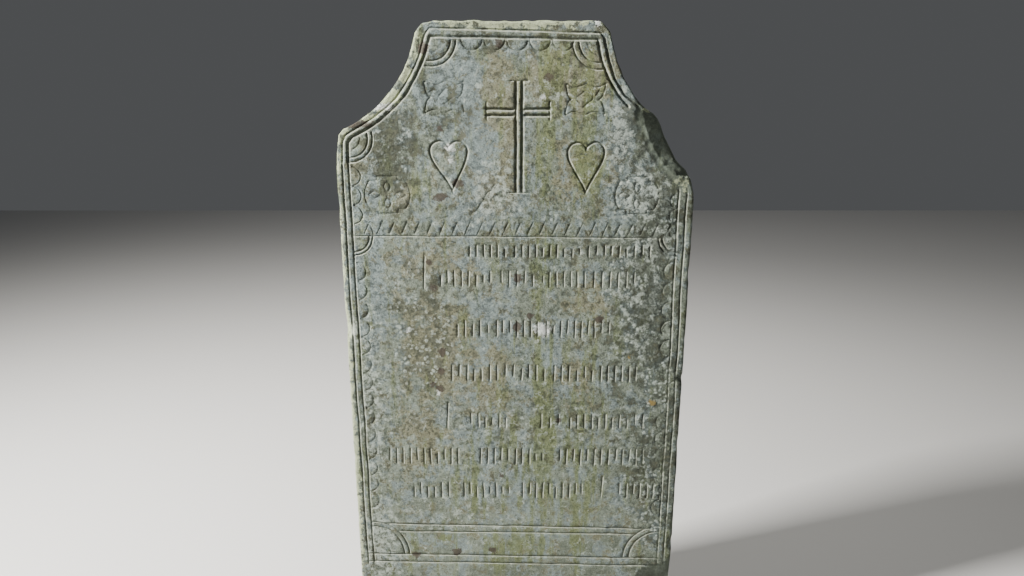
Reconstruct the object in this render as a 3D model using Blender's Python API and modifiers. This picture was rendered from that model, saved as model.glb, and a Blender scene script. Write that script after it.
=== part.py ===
"""A carved stone headstone: one upright slab with hollowed shoulders, a reeded border and shallow ornament.

Metres, +Z up. The origin is the middle of the underside, where the slab is cut off flat at the ground.
The carved face looks towards -Y. Drawings of the face are made in (across, up) coordinates.
"""
import math
import random

import bmesh
import bpy
import numpy
from mathutils import Matrix, Vector

# Slab
WIDTH = 0.700
HEIGHT = 1.360
THICKNESS = 0.090
ARRIS = 0.005
ARRIS_SEGMENTS = 2
ARRIS_ANGLE = math.radians(50)
STONE_RGBA = (0.215, 0.235, 0.200, 1.0)
STONE_ROUGHNESS = 0.92

# Head outline: a flat crown, a hollow arc down to each shoulder
CROWN_WIDTH = 0.362
CROWN_SHIFT = -0.003
SHOULDER_DROP = 0.197
SHOULDER_STEP = 0.009
SHOULDER_CUT = 0.045
HOLLOW_RADIUS = 0.246
HOLLOW_STEPS = 12

# Reeded border: two grooves that follow the outline
BORDER_OUTER = 0.014
BORDER_INNER = 0.028
CROWN_RIM = 0.005
BORDER_GROOVE_WIDTH = 0.0065
BORDER_GROOVE_DEPTH = 0.0030

# Lines that divide the face
MIDLINE_DROP = 0.4045
BAND_TOP_HEIGHT = 0.303
BAND_SPACING = 0.017
BAND_FOOT_HEIGHT = 0.210
BAND_FALL = 0.011
LINE_GROOVE_WIDTH = 0.0055
LINE_GROOVE_DEPTH = 0.0022

# Quarter rounds in the corners of the panels: two grooves each
CORNER_RADIUS = 0.048
CORNER_REED = 0.010
FOOT_CORNER_RADIUS = 0.080
FOOT_CORNER_REED = 0.0115
MID_CORNER_RADIUS = 0.039
MID_CORNER_REED = 0.0075
CORNER_STEPS = 6
CORNER_STOP = 2
CROWN_LEFT_SWEEP = (256, 360)
CROWN_RIGHT_SWEEP = (180, 284)
SHOULDER_SWEEP = (270, 374)

# Cross: two grooves to each bar, with a short stop across each end
CROSS_SHIFT = 0.006
CROSS_HEAD = 0.793
CROSS_FOOT = 0.2355
CROSS_ARMS = 0.637
CROSS_ARM_REACH = 0.0595
CROSS_REED = 0.0112
CROSS_GROOVE_WIDTH = 0.0085
CROSS_GROOVE_DEPTH = 0.0038
CROSS_STOP_REACH = 0.0165
CROSS_SIDE_STOP_REACH = 0.0135

# Hearts
HEART_SPREAD = 0.410
HEART_SHIFT = 0.003
HEART_TIP = 0.237
HEART_WIDTH = 0.070
HEART_HEIGHT = 0.096
HEART_LOBE = 0.018
HEART_STEPS = 8
HEART_GROOVE_WIDTH = 0.0060
HEART_GROOVE_DEPTH = 0.0026

# Rings with four petals, and hourglass figures above the hearts
RING_SPREAD = 0.760
RING_UP = 0.221
RING_RADIUS = 0.0445
RING_STEPS = 8
RING_SWEEP = 37
RING_TAB = 0.019
RING_TAB_TOP = 0.036
RING_TAB_FOOT = 0.029
PETAL_NEAR = 0.016
PETAL_FAR = 0.037
PETAL_SQUASH = 0.75
HOURGLASS_SPREAD = 0.405
HOURGLASS_UP = 0.708
HOURGLASS_WIDTH = 0.074
HOURGLASS_HEIGHT = 0.058
HOURGLASS_WAIST = 0.050
HOURGLASS_STEPS = 8
HOURGLASS_SIDE = 0.80
HOURGLASS_SLASH = 0.008
SWAG_START = 0.12
SWAG_SAG = 0.005
FINE_GROOVE_WIDTH = 0.0042
FINE_GROOVE_DEPTH = 0.0014

# Scallops along the inner border
CROWN_SCALLOPS = 5
UPPER_SCALLOPS = 3
UPPER_SCALLOP_RADIUS = 0.0175
LOWER_SCALLOPS = 10
LOWER_SCALLOP_RADIUS = 0.0197
SCALLOP_STEPS = 6
SCALLOP_GAP = 0.0030

# Row of slanting cuts on the mid line
SLANT_PITCH = 0.0246
SLANT_HEIGHT = 0.020
SLANT_LEAN = 0.010
SLANT_CLEARANCE = 0.006

# Inscription: seven rows of plain strokes. Each row is (foot as a share of the text field's height, left end
# and right end as shares of its half width, height of the first stroke, height of the others)
INSCRIPTION_ROWS = (
    (0.936, -0.285, 0.830, 0.022, 0.022),
    (0.841, -0.600, 0.750, 0.064, 0.032),
    (0.679, -0.375, 0.595, 0.034, 0.034),
    (0.531, -0.415, 0.780, 0.033, 0.033),
    (0.367, -0.560, 0.845, 0.052, 0.032),
    (0.235, -0.845, 0.855, 0.034, 0.034),
    (0.111, -0.690, 0.930, 0.035, 0.035),
)
STROKE_PITCH = 0.0195
STROKE_JITTER = 0.10
STROKE_LEAN = 0.30
LEAN_EVERY = 3
SHORT_EVERY = 5
SHORT_SHARE = 0.62
WORD_GAP_CHANCE = 0.12
STROKE_WIDTH = 0.0045
STROKE_DEPTH = 0.0018
STROKE_SEED = 7

# Lost right shoulder: the broken edge as (in from the right side, below the crown), then the flaked face
BREAK_EDGE = (
    (0.159, 0.046),
    (0.147, 0.108),
    (0.125, 0.137),
    (0.099, 0.1625),
    (0.076, 0.177),
    (0.067, 0.194),
    (0.048, 0.237),
    (0.036, 0.261),
    (0.012, 0.281),
    (0.004, 0.305),
)
FLAKE_PIVOT = (0.115, 0.187)
FLAKE_TURN = math.radians(24)
FLAKE_SLOPE = math.radians(12)
FLAKE_LENGTH = 0.164
FACET_PIVOT = (0.081, 0.188)
FACET_TURN = math.radians(26)
FACET_SLOPE = math.radians(36)
FACET_LENGTH = 0.110
TIP_FLAKE_AT = (0.028, 0.290)
TIP_FLAKE_RADIUS = 0.034
TIP_FLAKE_DEPTH = 0.006

# Broken lower right corner
FOOT_FLAKE_PIVOT = (0.052, 0.160)
FOOT_FLAKE_TURN = math.radians(33)
FOOT_FLAKE_SLOPE = math.radians(16)
FOOT_FLAKE_LENGTH = 0.150

# Chips on the arrises: each is (side, height, length, depth)
ARRIS_CHIPS = (
    (-1, 0.750, 0.060, 0.009),
    (1, 0.655, 0.030, 0.010),
    (1, 0.262, 0.045, 0.008),
)

CHIP_REACH_BACK = 1.6

# Construction clearances. A groove that ends in another overruns its middle a little, as a chisel does.
OVERRUN = 0.0009
CUTTER_LIFT = 0.0005
SAMPLE_STEP = 0.002
CUTTER_MARGIN = 0.050
SAME_POINT = 0.00001
WELD = 0.00002

FRONT = -THICKNESS / 2
HALF = WIDTH / 2
FIELD_HALF = HALF - BORDER_INNER
MIDLINE = HEIGHT - MIDLINE_DROP
FIELD_TOP = HEIGHT - BORDER_INNER - CROWN_RIM


def new_collection(name):
    collection = bpy.data.collections.new(name)
    bpy.context.scene.collection.children.link(collection)
    return collection


def stone_material():
    material = bpy.data.materials.new("weathered_stone")
    material.use_nodes = True
    shader = material.node_tree.nodes["Principled BSDF"]
    shader.inputs["Base Color"].default_value = STONE_RGBA
    shader.inputs["Roughness"].default_value = STONE_ROUGHNESS
    shader.inputs["Metallic"].default_value = 0.0
    return material


def flat_curve(name, outlines, cyclic):
    """A 2D curve in its own XY plane, stood up so that local X is across, Y is up and Z faces forward."""
    data = bpy.data.curves.new(name, "CURVE")
    data.dimensions = "2D"
    for outline in outlines:
        spline = data.splines.new("POLY")
        spline.points.add(len(outline) - 1)
        for point, (across, up) in zip(spline.points, outline):
            point.co = (across, up, 0.0, 1.0)
        spline.use_cyclic_u = cyclic
    return bpy.data.objects.new(name, data)


def stand_up(y):
    return Matrix.Translation((0.0, y, 0.0)) @ Matrix.Rotation(math.pi / 2, 4, "X")


def as_mesh(curve, collection, matrix, depth_scale=1.0):
    """The curve as a closed mesh object, placed by matrix, with its thickness scaled."""
    collection.objects.link(curve)
    bpy.context.view_layer.update()
    graph = bpy.context.evaluated_depsgraph_get()
    mesh = bpy.data.meshes.new_from_object(curve.evaluated_get(graph))
    name = curve.name
    bpy.data.objects.remove(curve)
    mesh.transform(matrix @ Matrix.Diagonal((1.0, 1.0, depth_scale, 1.0)))
    shape = bmesh.new()
    shape.from_mesh(mesh)
    bmesh.ops.remove_doubles(shape, verts=shape.verts, dist=SAME_POINT)
    bmesh.ops.recalc_face_normals(shape, faces=shape.faces)
    shape.to_mesh(mesh)
    shape.free()
    solid = bpy.data.objects.new(name, mesh)
    collection.objects.link(solid)
    return solid


def prism(name, outline, collection, front, back):
    """A flat outline given thickness between two Y positions."""
    curve = flat_curve(name, [outline], True)
    curve.data.fill_mode = "BOTH"
    curve.data.extrude = (back - front) / 2
    return as_mesh(curve, collection, stand_up((front + back) / 2))


def v_cutter(name, lines, width, depth, collection, cyclic=False):
    """A V-shaped cutter along lines on the face, that wide at the surface and that deep."""
    curve = flat_curve(name, lines, cyclic)
    curve.data.fill_mode = "NONE"
    half = width / 2 * (1 + CUTTER_LIFT / depth)
    curve.data.bevel_depth = half
    curve.data.bevel_resolution = 0
    curve.data.use_fill_caps = not cyclic
    return as_mesh(curve, collection, stand_up(FRONT - CUTTER_LIFT), (depth + CUTTER_LIFT) / half)


def sampled(line):
    """Closely spaced points along a line."""
    points = []
    for start, end in zip(line[:-1], line[1:]):
        count = max(1, int(math.dist(start, end) / SAMPLE_STEP))
        points.append(numpy.linspace(start, end, count + 1))
    return numpy.concatenate(points)


def set_apart(lines, clearance):
    """The lines sorted into groups, so that no two lines of a group come closer than the clearance."""
    groups = []
    for line in lines:
        points = sampled(line)
        for group in groups:
            gaps = points[:, None, :] - group["points"][None, :, :]
            if numpy.hypot(gaps[..., 0], gaps[..., 1]).min() > clearance:
                group["lines"].append(line)
                group["points"] = numpy.concatenate([group["points"], points])
                break
        else:
            groups.append({"lines": [line], "points": points})
    return [group["lines"] for group in groups]


def carve(cutters, name, lines, width, depth):
    """Grooves along lines. Grooves that meet or cross belong to separate cutters."""
    clearance = width * (1 + CUTTER_LIFT / depth) + SAMPLE_STEP
    for index, group in enumerate(set_apart(lines, clearance)):
        v_cutter(f"{name}_{index + 1}", group, width, depth, cutters)


def cut_by_all(body, cutters):
    """Every cutter is taken off the body in one step, then edges shorter than the weld are closed up."""
    modifier = body.modifiers.new("carving", "BOOLEAN")
    modifier.operation = "DIFFERENCE"
    modifier.solver = "EXACT"
    modifier.operand_type = "COLLECTION"
    modifier.collection = cutters
    weld = body.modifiers.new("weld", "WELD")
    weld.merge_threshold = WELD
    for cutter in cutters.objects:
        cutter.hide_render = True
        cutter.display_type = "WIRE"


def arc(centre, radius, start, end, steps):
    """Points from angle start to end, in degrees counter-clockwise from across."""
    turns = [math.radians(start + (end - start) * i / steps) for i in range(steps + 1)]
    return [(centre[0] + radius * math.cos(t), centre[1] + radius * math.sin(t)) for t in turns]


def hollow_centre(side):
    """Centre of the circle that the hollow between crown and shoulder follows."""
    crown = Vector((side * CROWN_WIDTH / 2 + CROWN_SHIFT, HEIGHT))
    shoulder = Vector((side * (HALF - SHOULDER_STEP), HEIGHT - SHOULDER_DROP))
    chord = shoulder - crown
    outward = Vector((-chord.y, chord.x)) * side / chord.length
    reach = math.sqrt(max(HOLLOW_RADIUS**2 - chord.length_squared / 4, 0.0))
    return (crown + shoulder) / 2 + outward * reach


def hollow(side, inset, top, reach):
    """The hollow's arc moved in by inset, from the line at height top to the line reach out from the axis."""
    centre = hollow_centre(side)
    radius = HOLLOW_RADIUS + inset
    high = math.asin(max(-1.0, min(1.0, (top - centre.y) / radius)))
    low = math.acos(max(-1.0, min(1.0, (side * centre.x - reach) / radius)))
    turns = [high + (-low - high) * i / HOLLOW_STEPS for i in range(HOLLOW_STEPS + 1)]
    return [(centre.x - side * radius * math.cos(t), centre.y + radius * math.sin(t)) for t in turns]


def head_outline():
    """Points from the foot of the left side, over the crown, to the foot of the right side."""
    left = hollow(-1, 0.0, HEIGHT, HALF - SHOULDER_STEP)
    right = hollow(1, 0.0, HEIGHT, HALF - SHOULDER_STEP)
    foot = -CUTTER_MARGIN
    under = HEIGHT - SHOULDER_DROP - SHOULDER_CUT
    return [(-HALF, foot), (-HALF, under)] + left[::-1] + right + [(HALF, under), (HALF, foot)]


def border_line(inset):
    """One groove of the border, from the lower band over the crown and down to the band again."""
    reach = HALF - inset
    top = HEIGHT - inset - CROWN_RIM
    left = hollow(-1, inset, top, reach)
    right = hollow(1, inset, top, reach)
    feet = [(side * reach, band_height(BAND_FOOT_HEIGHT, side * reach) - OVERRUN) for side in (-1, 1)]
    return [feet[0]] + left[::-1] + right + [feet[1]]


def make_slab(collection, cutters):
    slab = prism("headstone_slab", head_outline(), collection, FRONT, -FRONT)
    bevel = slab.modifiers.new("worn_arris", "BEVEL")
    bevel.width = ARRIS
    bevel.segments = ARRIS_SEGMENTS
    bevel.limit_method = "ANGLE"
    bevel.angle_limit = ARRIS_ANGLE
    ground = [(-WIDTH, -HEIGHT), (WIDTH, -HEIGHT), (WIDTH, 0.0), (-WIDTH, 0.0)]
    prism("ground_cut", ground, cutters, FRONT - CUTTER_MARGIN, CUTTER_MARGIN - FRONT)
    slab.data.materials.append(stone_material())
    return slab


def break_shoulder(cutters):
    """The right shoulder's broken edge, the flaked face and steeper facet beside it, and the tip's flake."""
    edge = [(HALF - inward, HEIGHT - below) for inward, below in BREAK_EDGE]
    beyond = HALF + CUTTER_MARGIN
    lost = edge + [(beyond, edge[-1][1]), (beyond, edge[0][1])]
    prism("lost_corner", lost, cutters, FRONT - CUTTER_MARGIN, CUTTER_MARGIN - FRONT)
    pivot = (HALF - FLAKE_PIVOT[0], HEIGHT - FLAKE_PIVOT[1])
    sloping_cut(cutters, "shoulder_flake", pivot, FLAKE_TURN, FLAKE_SLOPE, FLAKE_LENGTH)
    pivot = (HALF - FACET_PIVOT[0], HEIGHT - FACET_PIVOT[1])
    sloping_cut(cutters, "shoulder_facet", pivot, FACET_TURN, FACET_SLOPE, FACET_LENGTH)
    scoop(cutters, "tip_flake", TIP_FLAKE_AT, TIP_FLAKE_RADIUS, TIP_FLAKE_DEPTH)


def break_foot(cutters):
    """The flake lost from the lower right corner."""
    pivot = (HALF - FOOT_FLAKE_PIVOT[0], FOOT_FLAKE_PIVOT[1])
    sloping_cut(cutters, "foot_flake", pivot, FOOT_FLAKE_TURN, FOOT_FLAKE_SLOPE, FOOT_FLAKE_LENGTH)


def sloping_cut(cutters, name, pivot, turn, slope, length):
    """A box whose near face slopes back into the slab, to the right of a line through the pivot."""
    bpy.ops.mesh.primitive_cube_add(size=1.0)
    box = bpy.context.object
    box.name = name
    box.data.transform(Matrix.Translation((0.5, -0.5, 0.0)))
    box.data.transform(Matrix.Diagonal((length, length, length, 1.0)))
    place = Vector((pivot[0], FRONT, pivot[1]))
    box.data.transform(
        Matrix.Translation(place) @ Matrix.Rotation(-turn, 4, "Y") @ Matrix.Rotation(slope, 4, "Z")
    )
    move_to(box, cutters)


def scoop(cutters, name, place, radius, depth):
    """A shallow round hollow in the face."""
    bpy.ops.mesh.primitive_ico_sphere_add(subdivisions=2, radius=1.0)
    ball = bpy.context.object
    ball.name = name
    ball.data.transform(
        Matrix.Translation((HALF - place[0], FRONT, HEIGHT - place[1]))
        @ Matrix.Diagonal((radius, depth, radius, 1.0))
    )
    move_to(ball, cutters)


def move_to(obj, collection):
    for owner in list(obj.users_collection):
        owner.objects.unlink(obj)
    collection.objects.link(obj)


def chip_arrises(cutters):
    for index, (side, height, length, depth) in enumerate(ARRIS_CHIPS):
        bpy.ops.mesh.primitive_ico_sphere_add(subdivisions=2, radius=1.0)
        chip = bpy.context.object
        chip.name = f"arris_chip_{index + 1}"
        chip.data.transform(
            Matrix.Translation((side * HALF, FRONT, height))
            @ Matrix.Diagonal((depth, CHIP_REACH_BACK * depth, length / 2, 1.0))
        )
        move_to(chip, cutters)


def band_height(height, across):
    """The mason's lower lines fall a little from left to right."""
    return height - BAND_FALL * across / WIDTH


def carve_border(cutters):
    lines = [border_line(BORDER_OUTER), border_line(BORDER_INNER)]
    carve(cutters, "border", lines, BORDER_GROOVE_WIDTH, BORDER_GROOVE_DEPTH)


def carve_lines(cutters):
    """The mid line, and the two pairs of lines of the lower band between its corner rounds."""
    foot_corner = FIELD_HALF - FOOT_CORNER_RADIUS - LINE_GROOVE_WIDTH
    full = FIELD_HALF + OVERRUN
    lines = [[(-full, MIDLINE), (full, MIDLINE)]]
    for height, reach in (
        (BAND_TOP_HEIGHT, foot_corner),
        (BAND_TOP_HEIGHT - BAND_SPACING, foot_corner),
        (BAND_FOOT_HEIGHT + BAND_SPACING, full),
        (BAND_FOOT_HEIGHT, full),
    ):
        lines.append([(side * reach, band_height(height, side * reach)) for side in (-1, 1)])
    carve(cutters, "dividing_lines", lines, LINE_GROOVE_WIDTH, LINE_GROOVE_DEPTH)


def corner_round(centre, radius, reed, start, end):
    """Two grooves round a corner. Each stops short of the sides, given as angles in degrees."""
    reach = (start + CORNER_STOP, end - CORNER_STOP)
    return [arc(centre, r, *reach, CORNER_STEPS) for r in (radius, radius - reed)]


def carve_corners(cutters):
    """Rounds at the crown's corners and the left shoulder, under the mid line and over the lower band."""
    crown = [hollow(side, BORDER_INNER, FIELD_TOP, FIELD_HALF) for side in (-1, 1)]
    lines = corner_round(crown[0][0], CORNER_RADIUS, CORNER_REED, *CROWN_LEFT_SWEEP)
    lines += corner_round(crown[1][0], CORNER_RADIUS, CORNER_REED, *CROWN_RIGHT_SWEEP)
    lines += corner_round(crown[0][-1], CORNER_RADIUS, CORNER_REED, *SHOULDER_SWEEP)
    for side, below, above in ((-1, 270, 0), (1, 180, 90)):
        middle = (side * FIELD_HALF, MIDLINE)
        lines += corner_round(middle, MID_CORNER_RADIUS, MID_CORNER_REED, below, below + 90)
        foot = (side * FIELD_HALF, band_height(BAND_FOOT_HEIGHT + BAND_SPACING, side * FIELD_HALF))
        lines += corner_round(foot, FOOT_CORNER_RADIUS, FOOT_CORNER_REED, above, above + 90)
    carve(cutters, "corner_rounds", lines, LINE_GROOVE_WIDTH, LINE_GROOVE_DEPTH)


def field_point(across, up):
    """A place in the field above the mid line, by shares of its half width and of its height."""
    return across * FIELD_HALF, MIDLINE + up * (FIELD_TOP - MIDLINE)


def text_point(across, up):
    """A place in the field of the inscription, by shares of its half width and of its height."""
    return across * FIELD_HALF, BAND_TOP_HEIGHT + up * (MIDLINE - BAND_TOP_HEIGHT)


def carve_cross(cutters):
    head = field_point(0.0, CROSS_HEAD)[1]
    foot = field_point(0.0, CROSS_FOOT)[1]
    arms = field_point(0.0, CROSS_ARMS)[1]
    gap = CROSS_REED / 2 + CROSS_GROOVE_WIDTH / 4
    bars, arm_bars = [], []
    for shift in (-CROSS_REED / 2, CROSS_REED / 2):
        bars.append([(CROSS_SHIFT + shift, head + OVERRUN), (CROSS_SHIFT + shift, foot - OVERRUN)])
        for side in (-1, 1):
            near, far = side * gap, side * (CROSS_ARM_REACH + OVERRUN)
            arm_bars.append([(CROSS_SHIFT + near, arms + shift), (CROSS_SHIFT + far, arms + shift)])
    stops = []
    for side in (-1, 1):
        end = head if side > 0 else foot
        stops.append([(CROSS_SHIFT + reach, end) for reach in (-CROSS_STOP_REACH, CROSS_STOP_REACH)])
        tip = CROSS_SHIFT + side * CROSS_ARM_REACH
        stops.append([(tip, arms + reach) for reach in (-CROSS_SIDE_STOP_REACH, CROSS_SIDE_STOP_REACH)])
    carve(cutters, "cross_bars", bars + arm_bars, CROSS_GROOVE_WIDTH, CROSS_GROOVE_DEPTH)
    carve(cutters, "cross_stops", stops, LINE_GROOVE_WIDTH, LINE_GROOVE_DEPTH)


def heart(tip):
    """A closed heart that stands on its tip: two round lobes that meet in the cleft, and straight sides."""
    x, z = HEART_WIDTH / 2 - HEART_LOBE, HEART_HEIGHT - HEART_LOBE
    cleft = math.degrees(math.acos(max(-1.0, -x / HEART_LOBE)))
    side = math.degrees(math.atan2(x, z) + math.asin(min(1.0, HEART_LOBE / math.hypot(x, z))))
    right = arc((x, z), HEART_LOBE, cleft, -side, HEART_STEPS)
    left = [(-across, up) for across, up in right[:0:-1]]
    return [(tip[0] + across, tip[1] + up) for across, up in right + [(0.0, 0.0)] + left]


def carve_hearts(cutters):
    tips = [field_point(side * HEART_SPREAD, HEART_TIP) for side in (-1, 1)]
    hearts = [heart((across + HEART_SHIFT, up)) for across, up in tips]
    v_cutter("hearts", hearts, HEART_GROOVE_WIDTH, HEART_GROOVE_DEPTH, cutters, cyclic=True)


def ring_figure(centre):
    """Two side arcs, a square tab above and below, and four short petals."""
    x, z = centre
    left = arc(centre, RING_RADIUS, 180 - RING_SWEEP, 180 + RING_SWEEP, RING_STEPS)
    right = arc(centre, RING_RADIUS, -RING_SWEEP, RING_SWEEP, RING_STEPS)
    lines = [left, right]
    for side in (-1, 1):
        top, foot = z + side * RING_TAB_TOP, z + side * RING_TAB_FOOT
        lines.append([(x - RING_TAB, foot), (x - RING_TAB, top), (x + RING_TAB, top), (x + RING_TAB, foot)])
        lines.append([(x + side * PETAL_NEAR, z), (x + side * PETAL_FAR, z)])
        lines.append([(x, z + side * PETAL_NEAR * PETAL_SQUASH), (x, z + side * PETAL_FAR * PETAL_SQUASH)])
    return lines


def hourglass_figure(centre):
    """Two sides that bow out from the waist, two swags above and below, and two slanting cuts between."""
    x, z = centre
    half, high, waist = HOURGLASS_WIDTH / 2, HOURGLASS_HEIGHT / 2, HOURGLASS_WAIST / 2
    lines = []
    for side in (-1, 1):
        bow = []
        swags = [[], []]
        for i in range(HOURGLASS_STEPS + 1):
            t = i / HOURGLASS_STEPS
            up = 2 * t - 1
            out = waist + (half - waist) * math.sin(math.pi / 2 * abs(up))
            bow.append((x + side * out, z + high * HOURGLASS_SIDE * up))
            for swag, end in zip(swags, (-1, 1)):
                reach = half * (SWAG_START + (1 - SWAG_START) * t)
                swag.append((x + side * reach, z + end * (high - SWAG_SAG * math.sin(math.pi * t))))
        lines += [bow] + swags
        near, far = side * HOURGLASS_SLASH - HOURGLASS_SLASH, side * HOURGLASS_SLASH + HOURGLASS_SLASH
        lines.append([(x + near, z - far), (x + far, z - near)])
    return lines


def carve_figures(cutters):
    lines = []
    for side in (-1, 1):
        lines += ring_figure(field_point(side * RING_SPREAD, RING_UP))
        lines += hourglass_figure(field_point(side * HOURGLASS_SPREAD, HOURGLASS_UP))
    carve(cutters, "figures", lines, FINE_GROOVE_WIDTH, FINE_GROOVE_DEPTH)


def scallop_run(start, step, facing, count, radius):
    """Half rounds side by side along a line, from start, bulging towards the facing angle.

    Every second one stops short, so that neighbours run into each other instead of ending at one point.
    """
    lines = []
    for index in range(count):
        centre = (start[0] + step[0] * (index + 0.5), start[1] + step[1] * (index + 0.5))
        sweep = 90 - math.degrees(SCALLOP_GAP / radius) * (index % 2)
        lines.append(arc(centre, radius, facing - sweep, facing + sweep, SCALLOP_STEPS))
    return lines


def carve_scallops(cutters):
    clear = (BORDER_GROOVE_WIDTH + FINE_GROOVE_WIDTH) / 2 + CUTTER_LIFT
    crown_reach = hollow(1, BORDER_INNER, FIELD_TOP, FIELD_HALF)[0][0] - CORNER_RADIUS - SCALLOP_GAP
    crown_radius = crown_reach / CROWN_SCALLOPS
    crown_start = (-crown_reach, FIELD_TOP - clear)
    lines = scallop_run(crown_start, (2 * crown_radius, 0.0), -90, CROWN_SCALLOPS, crown_radius)
    for side, facing in ((-1, 0), (1, 180)):
        across = side * (FIELD_HALF - clear)
        slants = SLANT_CLEARANCE + SLANT_HEIGHT + SCALLOP_GAP
        upper = (across, MIDLINE + slants + UPPER_SCALLOPS * 2 * UPPER_SCALLOP_RADIUS)
        lower = (across, MIDLINE - MID_CORNER_RADIUS - SCALLOP_GAP)
        for start, count, radius in (
            (upper, UPPER_SCALLOPS, UPPER_SCALLOP_RADIUS),
            (lower, LOWER_SCALLOPS, LOWER_SCALLOP_RADIUS),
        ):
            lines += scallop_run(start, (0.0, -2 * radius), facing, count, radius)
    carve(cutters, "scallops", lines, FINE_GROOVE_WIDTH, FINE_GROOVE_DEPTH)


def carve_slants(cutters):
    """The row of slanting cuts that stands on the mid line."""
    foot = MIDLINE + SLANT_CLEARANCE
    count = int(2 * (FIELD_HALF - SLANT_PITCH) / SLANT_PITCH)
    first = -SLANT_PITCH * (count - 1) / 2
    lines = []
    for i in range(count):
        at = first + SLANT_PITCH * i
        lines.append([(at - SLANT_LEAN / 2, foot), (at + SLANT_LEAN / 2, foot + SLANT_HEIGHT)])
    carve(cutters, "slanting_cuts", lines, FINE_GROOVE_WIDTH, FINE_GROOVE_DEPTH)


def carve_inscription(cutters):
    """Rows of strokes in place of the wording: upright cuts and leaning cuts, no two of which meet."""
    dice = random.Random(STROKE_SEED)
    lines = []
    for share, left, right, first, others in INSCRIPTION_ROWS:
        start, foot = text_point(left, share)
        end = text_point(right, share)[0]
        for i in range(max(1, int((end - start) / STROKE_PITCH))):
            at = start + STROKE_PITCH * (i + 0.5 + dice.uniform(-STROKE_JITTER, STROKE_JITTER))
            tall = others if i else first
            if i % SHORT_EVERY == SHORT_EVERY - 1:
                tall *= SHORT_SHARE
            lean = STROKE_LEAN * tall if i % LEAN_EVERY == 1 else 0.0
            if i == 0 or dice.random() > WORD_GAP_CHANCE:
                lines.append([(at - lean / 2, foot), (at + lean / 2, foot + tall)])
    carve(cutters, "inscription_strokes", lines, STROKE_WIDTH, STROKE_DEPTH)


def build():
    for obj in list(bpy.data.objects):
        bpy.data.objects.remove(obj)
    headstone = new_collection("headstone")
    cutters = new_collection("cutters")
    slab = make_slab(headstone, cutters)
    carve_border(cutters)
    carve_lines(cutters)
    carve_corners(cutters)
    carve_cross(cutters)
    carve_hearts(cutters)
    carve_figures(cutters)
    carve_scallops(cutters)
    carve_slants(cutters)
    carve_inscription(cutters)
    break_shoulder(cutters)
    break_foot(cutters)
    chip_arrises(cutters)
    cut_by_all(slab, cutters)


build()
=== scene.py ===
"""The headstone's visible surface: one closed mesh with its cuts, breaks and weathering, and its studio.

Drawings of the carved face are in millimetres, as (across from the axis, up from the ground).
The face looks towards -Y, and depth is measured into the stone from it.
"""

import math
import random

import bpy
import numpy as np
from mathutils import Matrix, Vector
from mathutils.geometry import delaunay_2d_cdt


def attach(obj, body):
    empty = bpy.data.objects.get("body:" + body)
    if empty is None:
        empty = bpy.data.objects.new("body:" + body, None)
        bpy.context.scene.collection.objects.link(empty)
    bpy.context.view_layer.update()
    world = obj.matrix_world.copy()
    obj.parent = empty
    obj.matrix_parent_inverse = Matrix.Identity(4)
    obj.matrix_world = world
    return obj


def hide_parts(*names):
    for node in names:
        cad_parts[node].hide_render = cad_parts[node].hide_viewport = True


MM = 0.001
SEED = 7

# Slab
HALF_WIDTH = 349.0
HEIGHT = 1359.0
THICKNESS = 90.0
FRONT_Y = -THICKNESS / 2

# Mesh spacing, and the staggered grids as (step, seed)
OUTLINE_STEP = 3.4
GROOVE_STEP = 2.7
GRID_STEP = 5.1
BACK_STEP = 11.0
MIN_GAP = 1.15
FRONT_GRID = (GRID_STEP, 171)
FLAKE_GRID = (GRID_STEP * 0.55, 172)
BACK_GRID = (BACK_STEP, 181)
SIDE_RINGS = 13
RIM_ROWS = (1.2, 2.8, 5.2)
WALL_ROW = 0.55
LIP_ROW = 1.4
CREASE_ROW = 1.6
SHARP_ANGLE = math.radians(38)

# Head: the hollow of the left shoulder follows a circle, the right one is broken
HOLLOW_CENTRE = (-429.0, 1388.5)
HOLLOW_RADIUS = 246.0
HOLLOW_SPAN = (1336, 1163)
CROWN = ((150, HEIGHT - 0.5), (-150, HEIGHT - 0.5))
CROWN_CORNER_RADIUS = 9.0
CROWN_CORNER_CENTRE = (-171, HEIGHT - 2.0 - CROWN_CORNER_RADIUS)
STRAIGHT_SIDE = 1000.0
LEFT_SHOULDER = ((-341, 1152), (-346, 1120), (-348, 1090))

# Right side from the crown down: what is left of the hollow, then the broken edge
RIGHT_EDGE = (
    (156, 1357), (165, 1350), (174, 1338), (178, 1322), (183, 1305), (189, 1285), (197, 1270),
    (203, 1256), (214, 1240), (224, 1224), (236, 1211), (250, 1199), (262, 1193), (272, 1184),
    (281, 1168), (286, 1152), (295, 1136), (303, 1121), (312, 1104), (322, 1094), (333, 1085),
    (340, 1072), (345, 1058), (348, 1040),
)

# Grooves of the border: the head's lines, then the straight sides. A cove runs outside the head's first one
OUTER_BORDER = (
    (-336, 1100), (-334, 1138), (-328, 1151), (-316, 1158), (-294, 1170), (-268, 1186), (-247, 1202),
    (-227, 1221), (-210, 1243), (-198, 1262), (-189, 1278), (-181, 1296), (-176, 1314), (-170, 1333),
    (-161, 1345), (156, 1336), (164, 1328), (172, 1291), (184, 1256), (204, 1225), (240, 1198),
)
INNER_BORDER = (
    (-324, 1100), (-323, 1137), (-314, 1148), (-288, 1160), (-259, 1178), (-229, 1205), (-206, 1229),
    (-189, 1257), (-178, 1278), (-170, 1296), (-165, 1314), (-160, 1330), (152, 1324), (159, 1288),
    (173, 1256), (193, 1225), (212, 1204),
)
BORDER_SIDES = (
    ((-330, 212), (-334, 600), (-336, 1100)), ((-317, 214), (-321, 600), (-324, 1100)),
    ((333, 1060), (334, 700), (332, 206)), ((317, 1052), (319, 700), (318, 208)),
)
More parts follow.
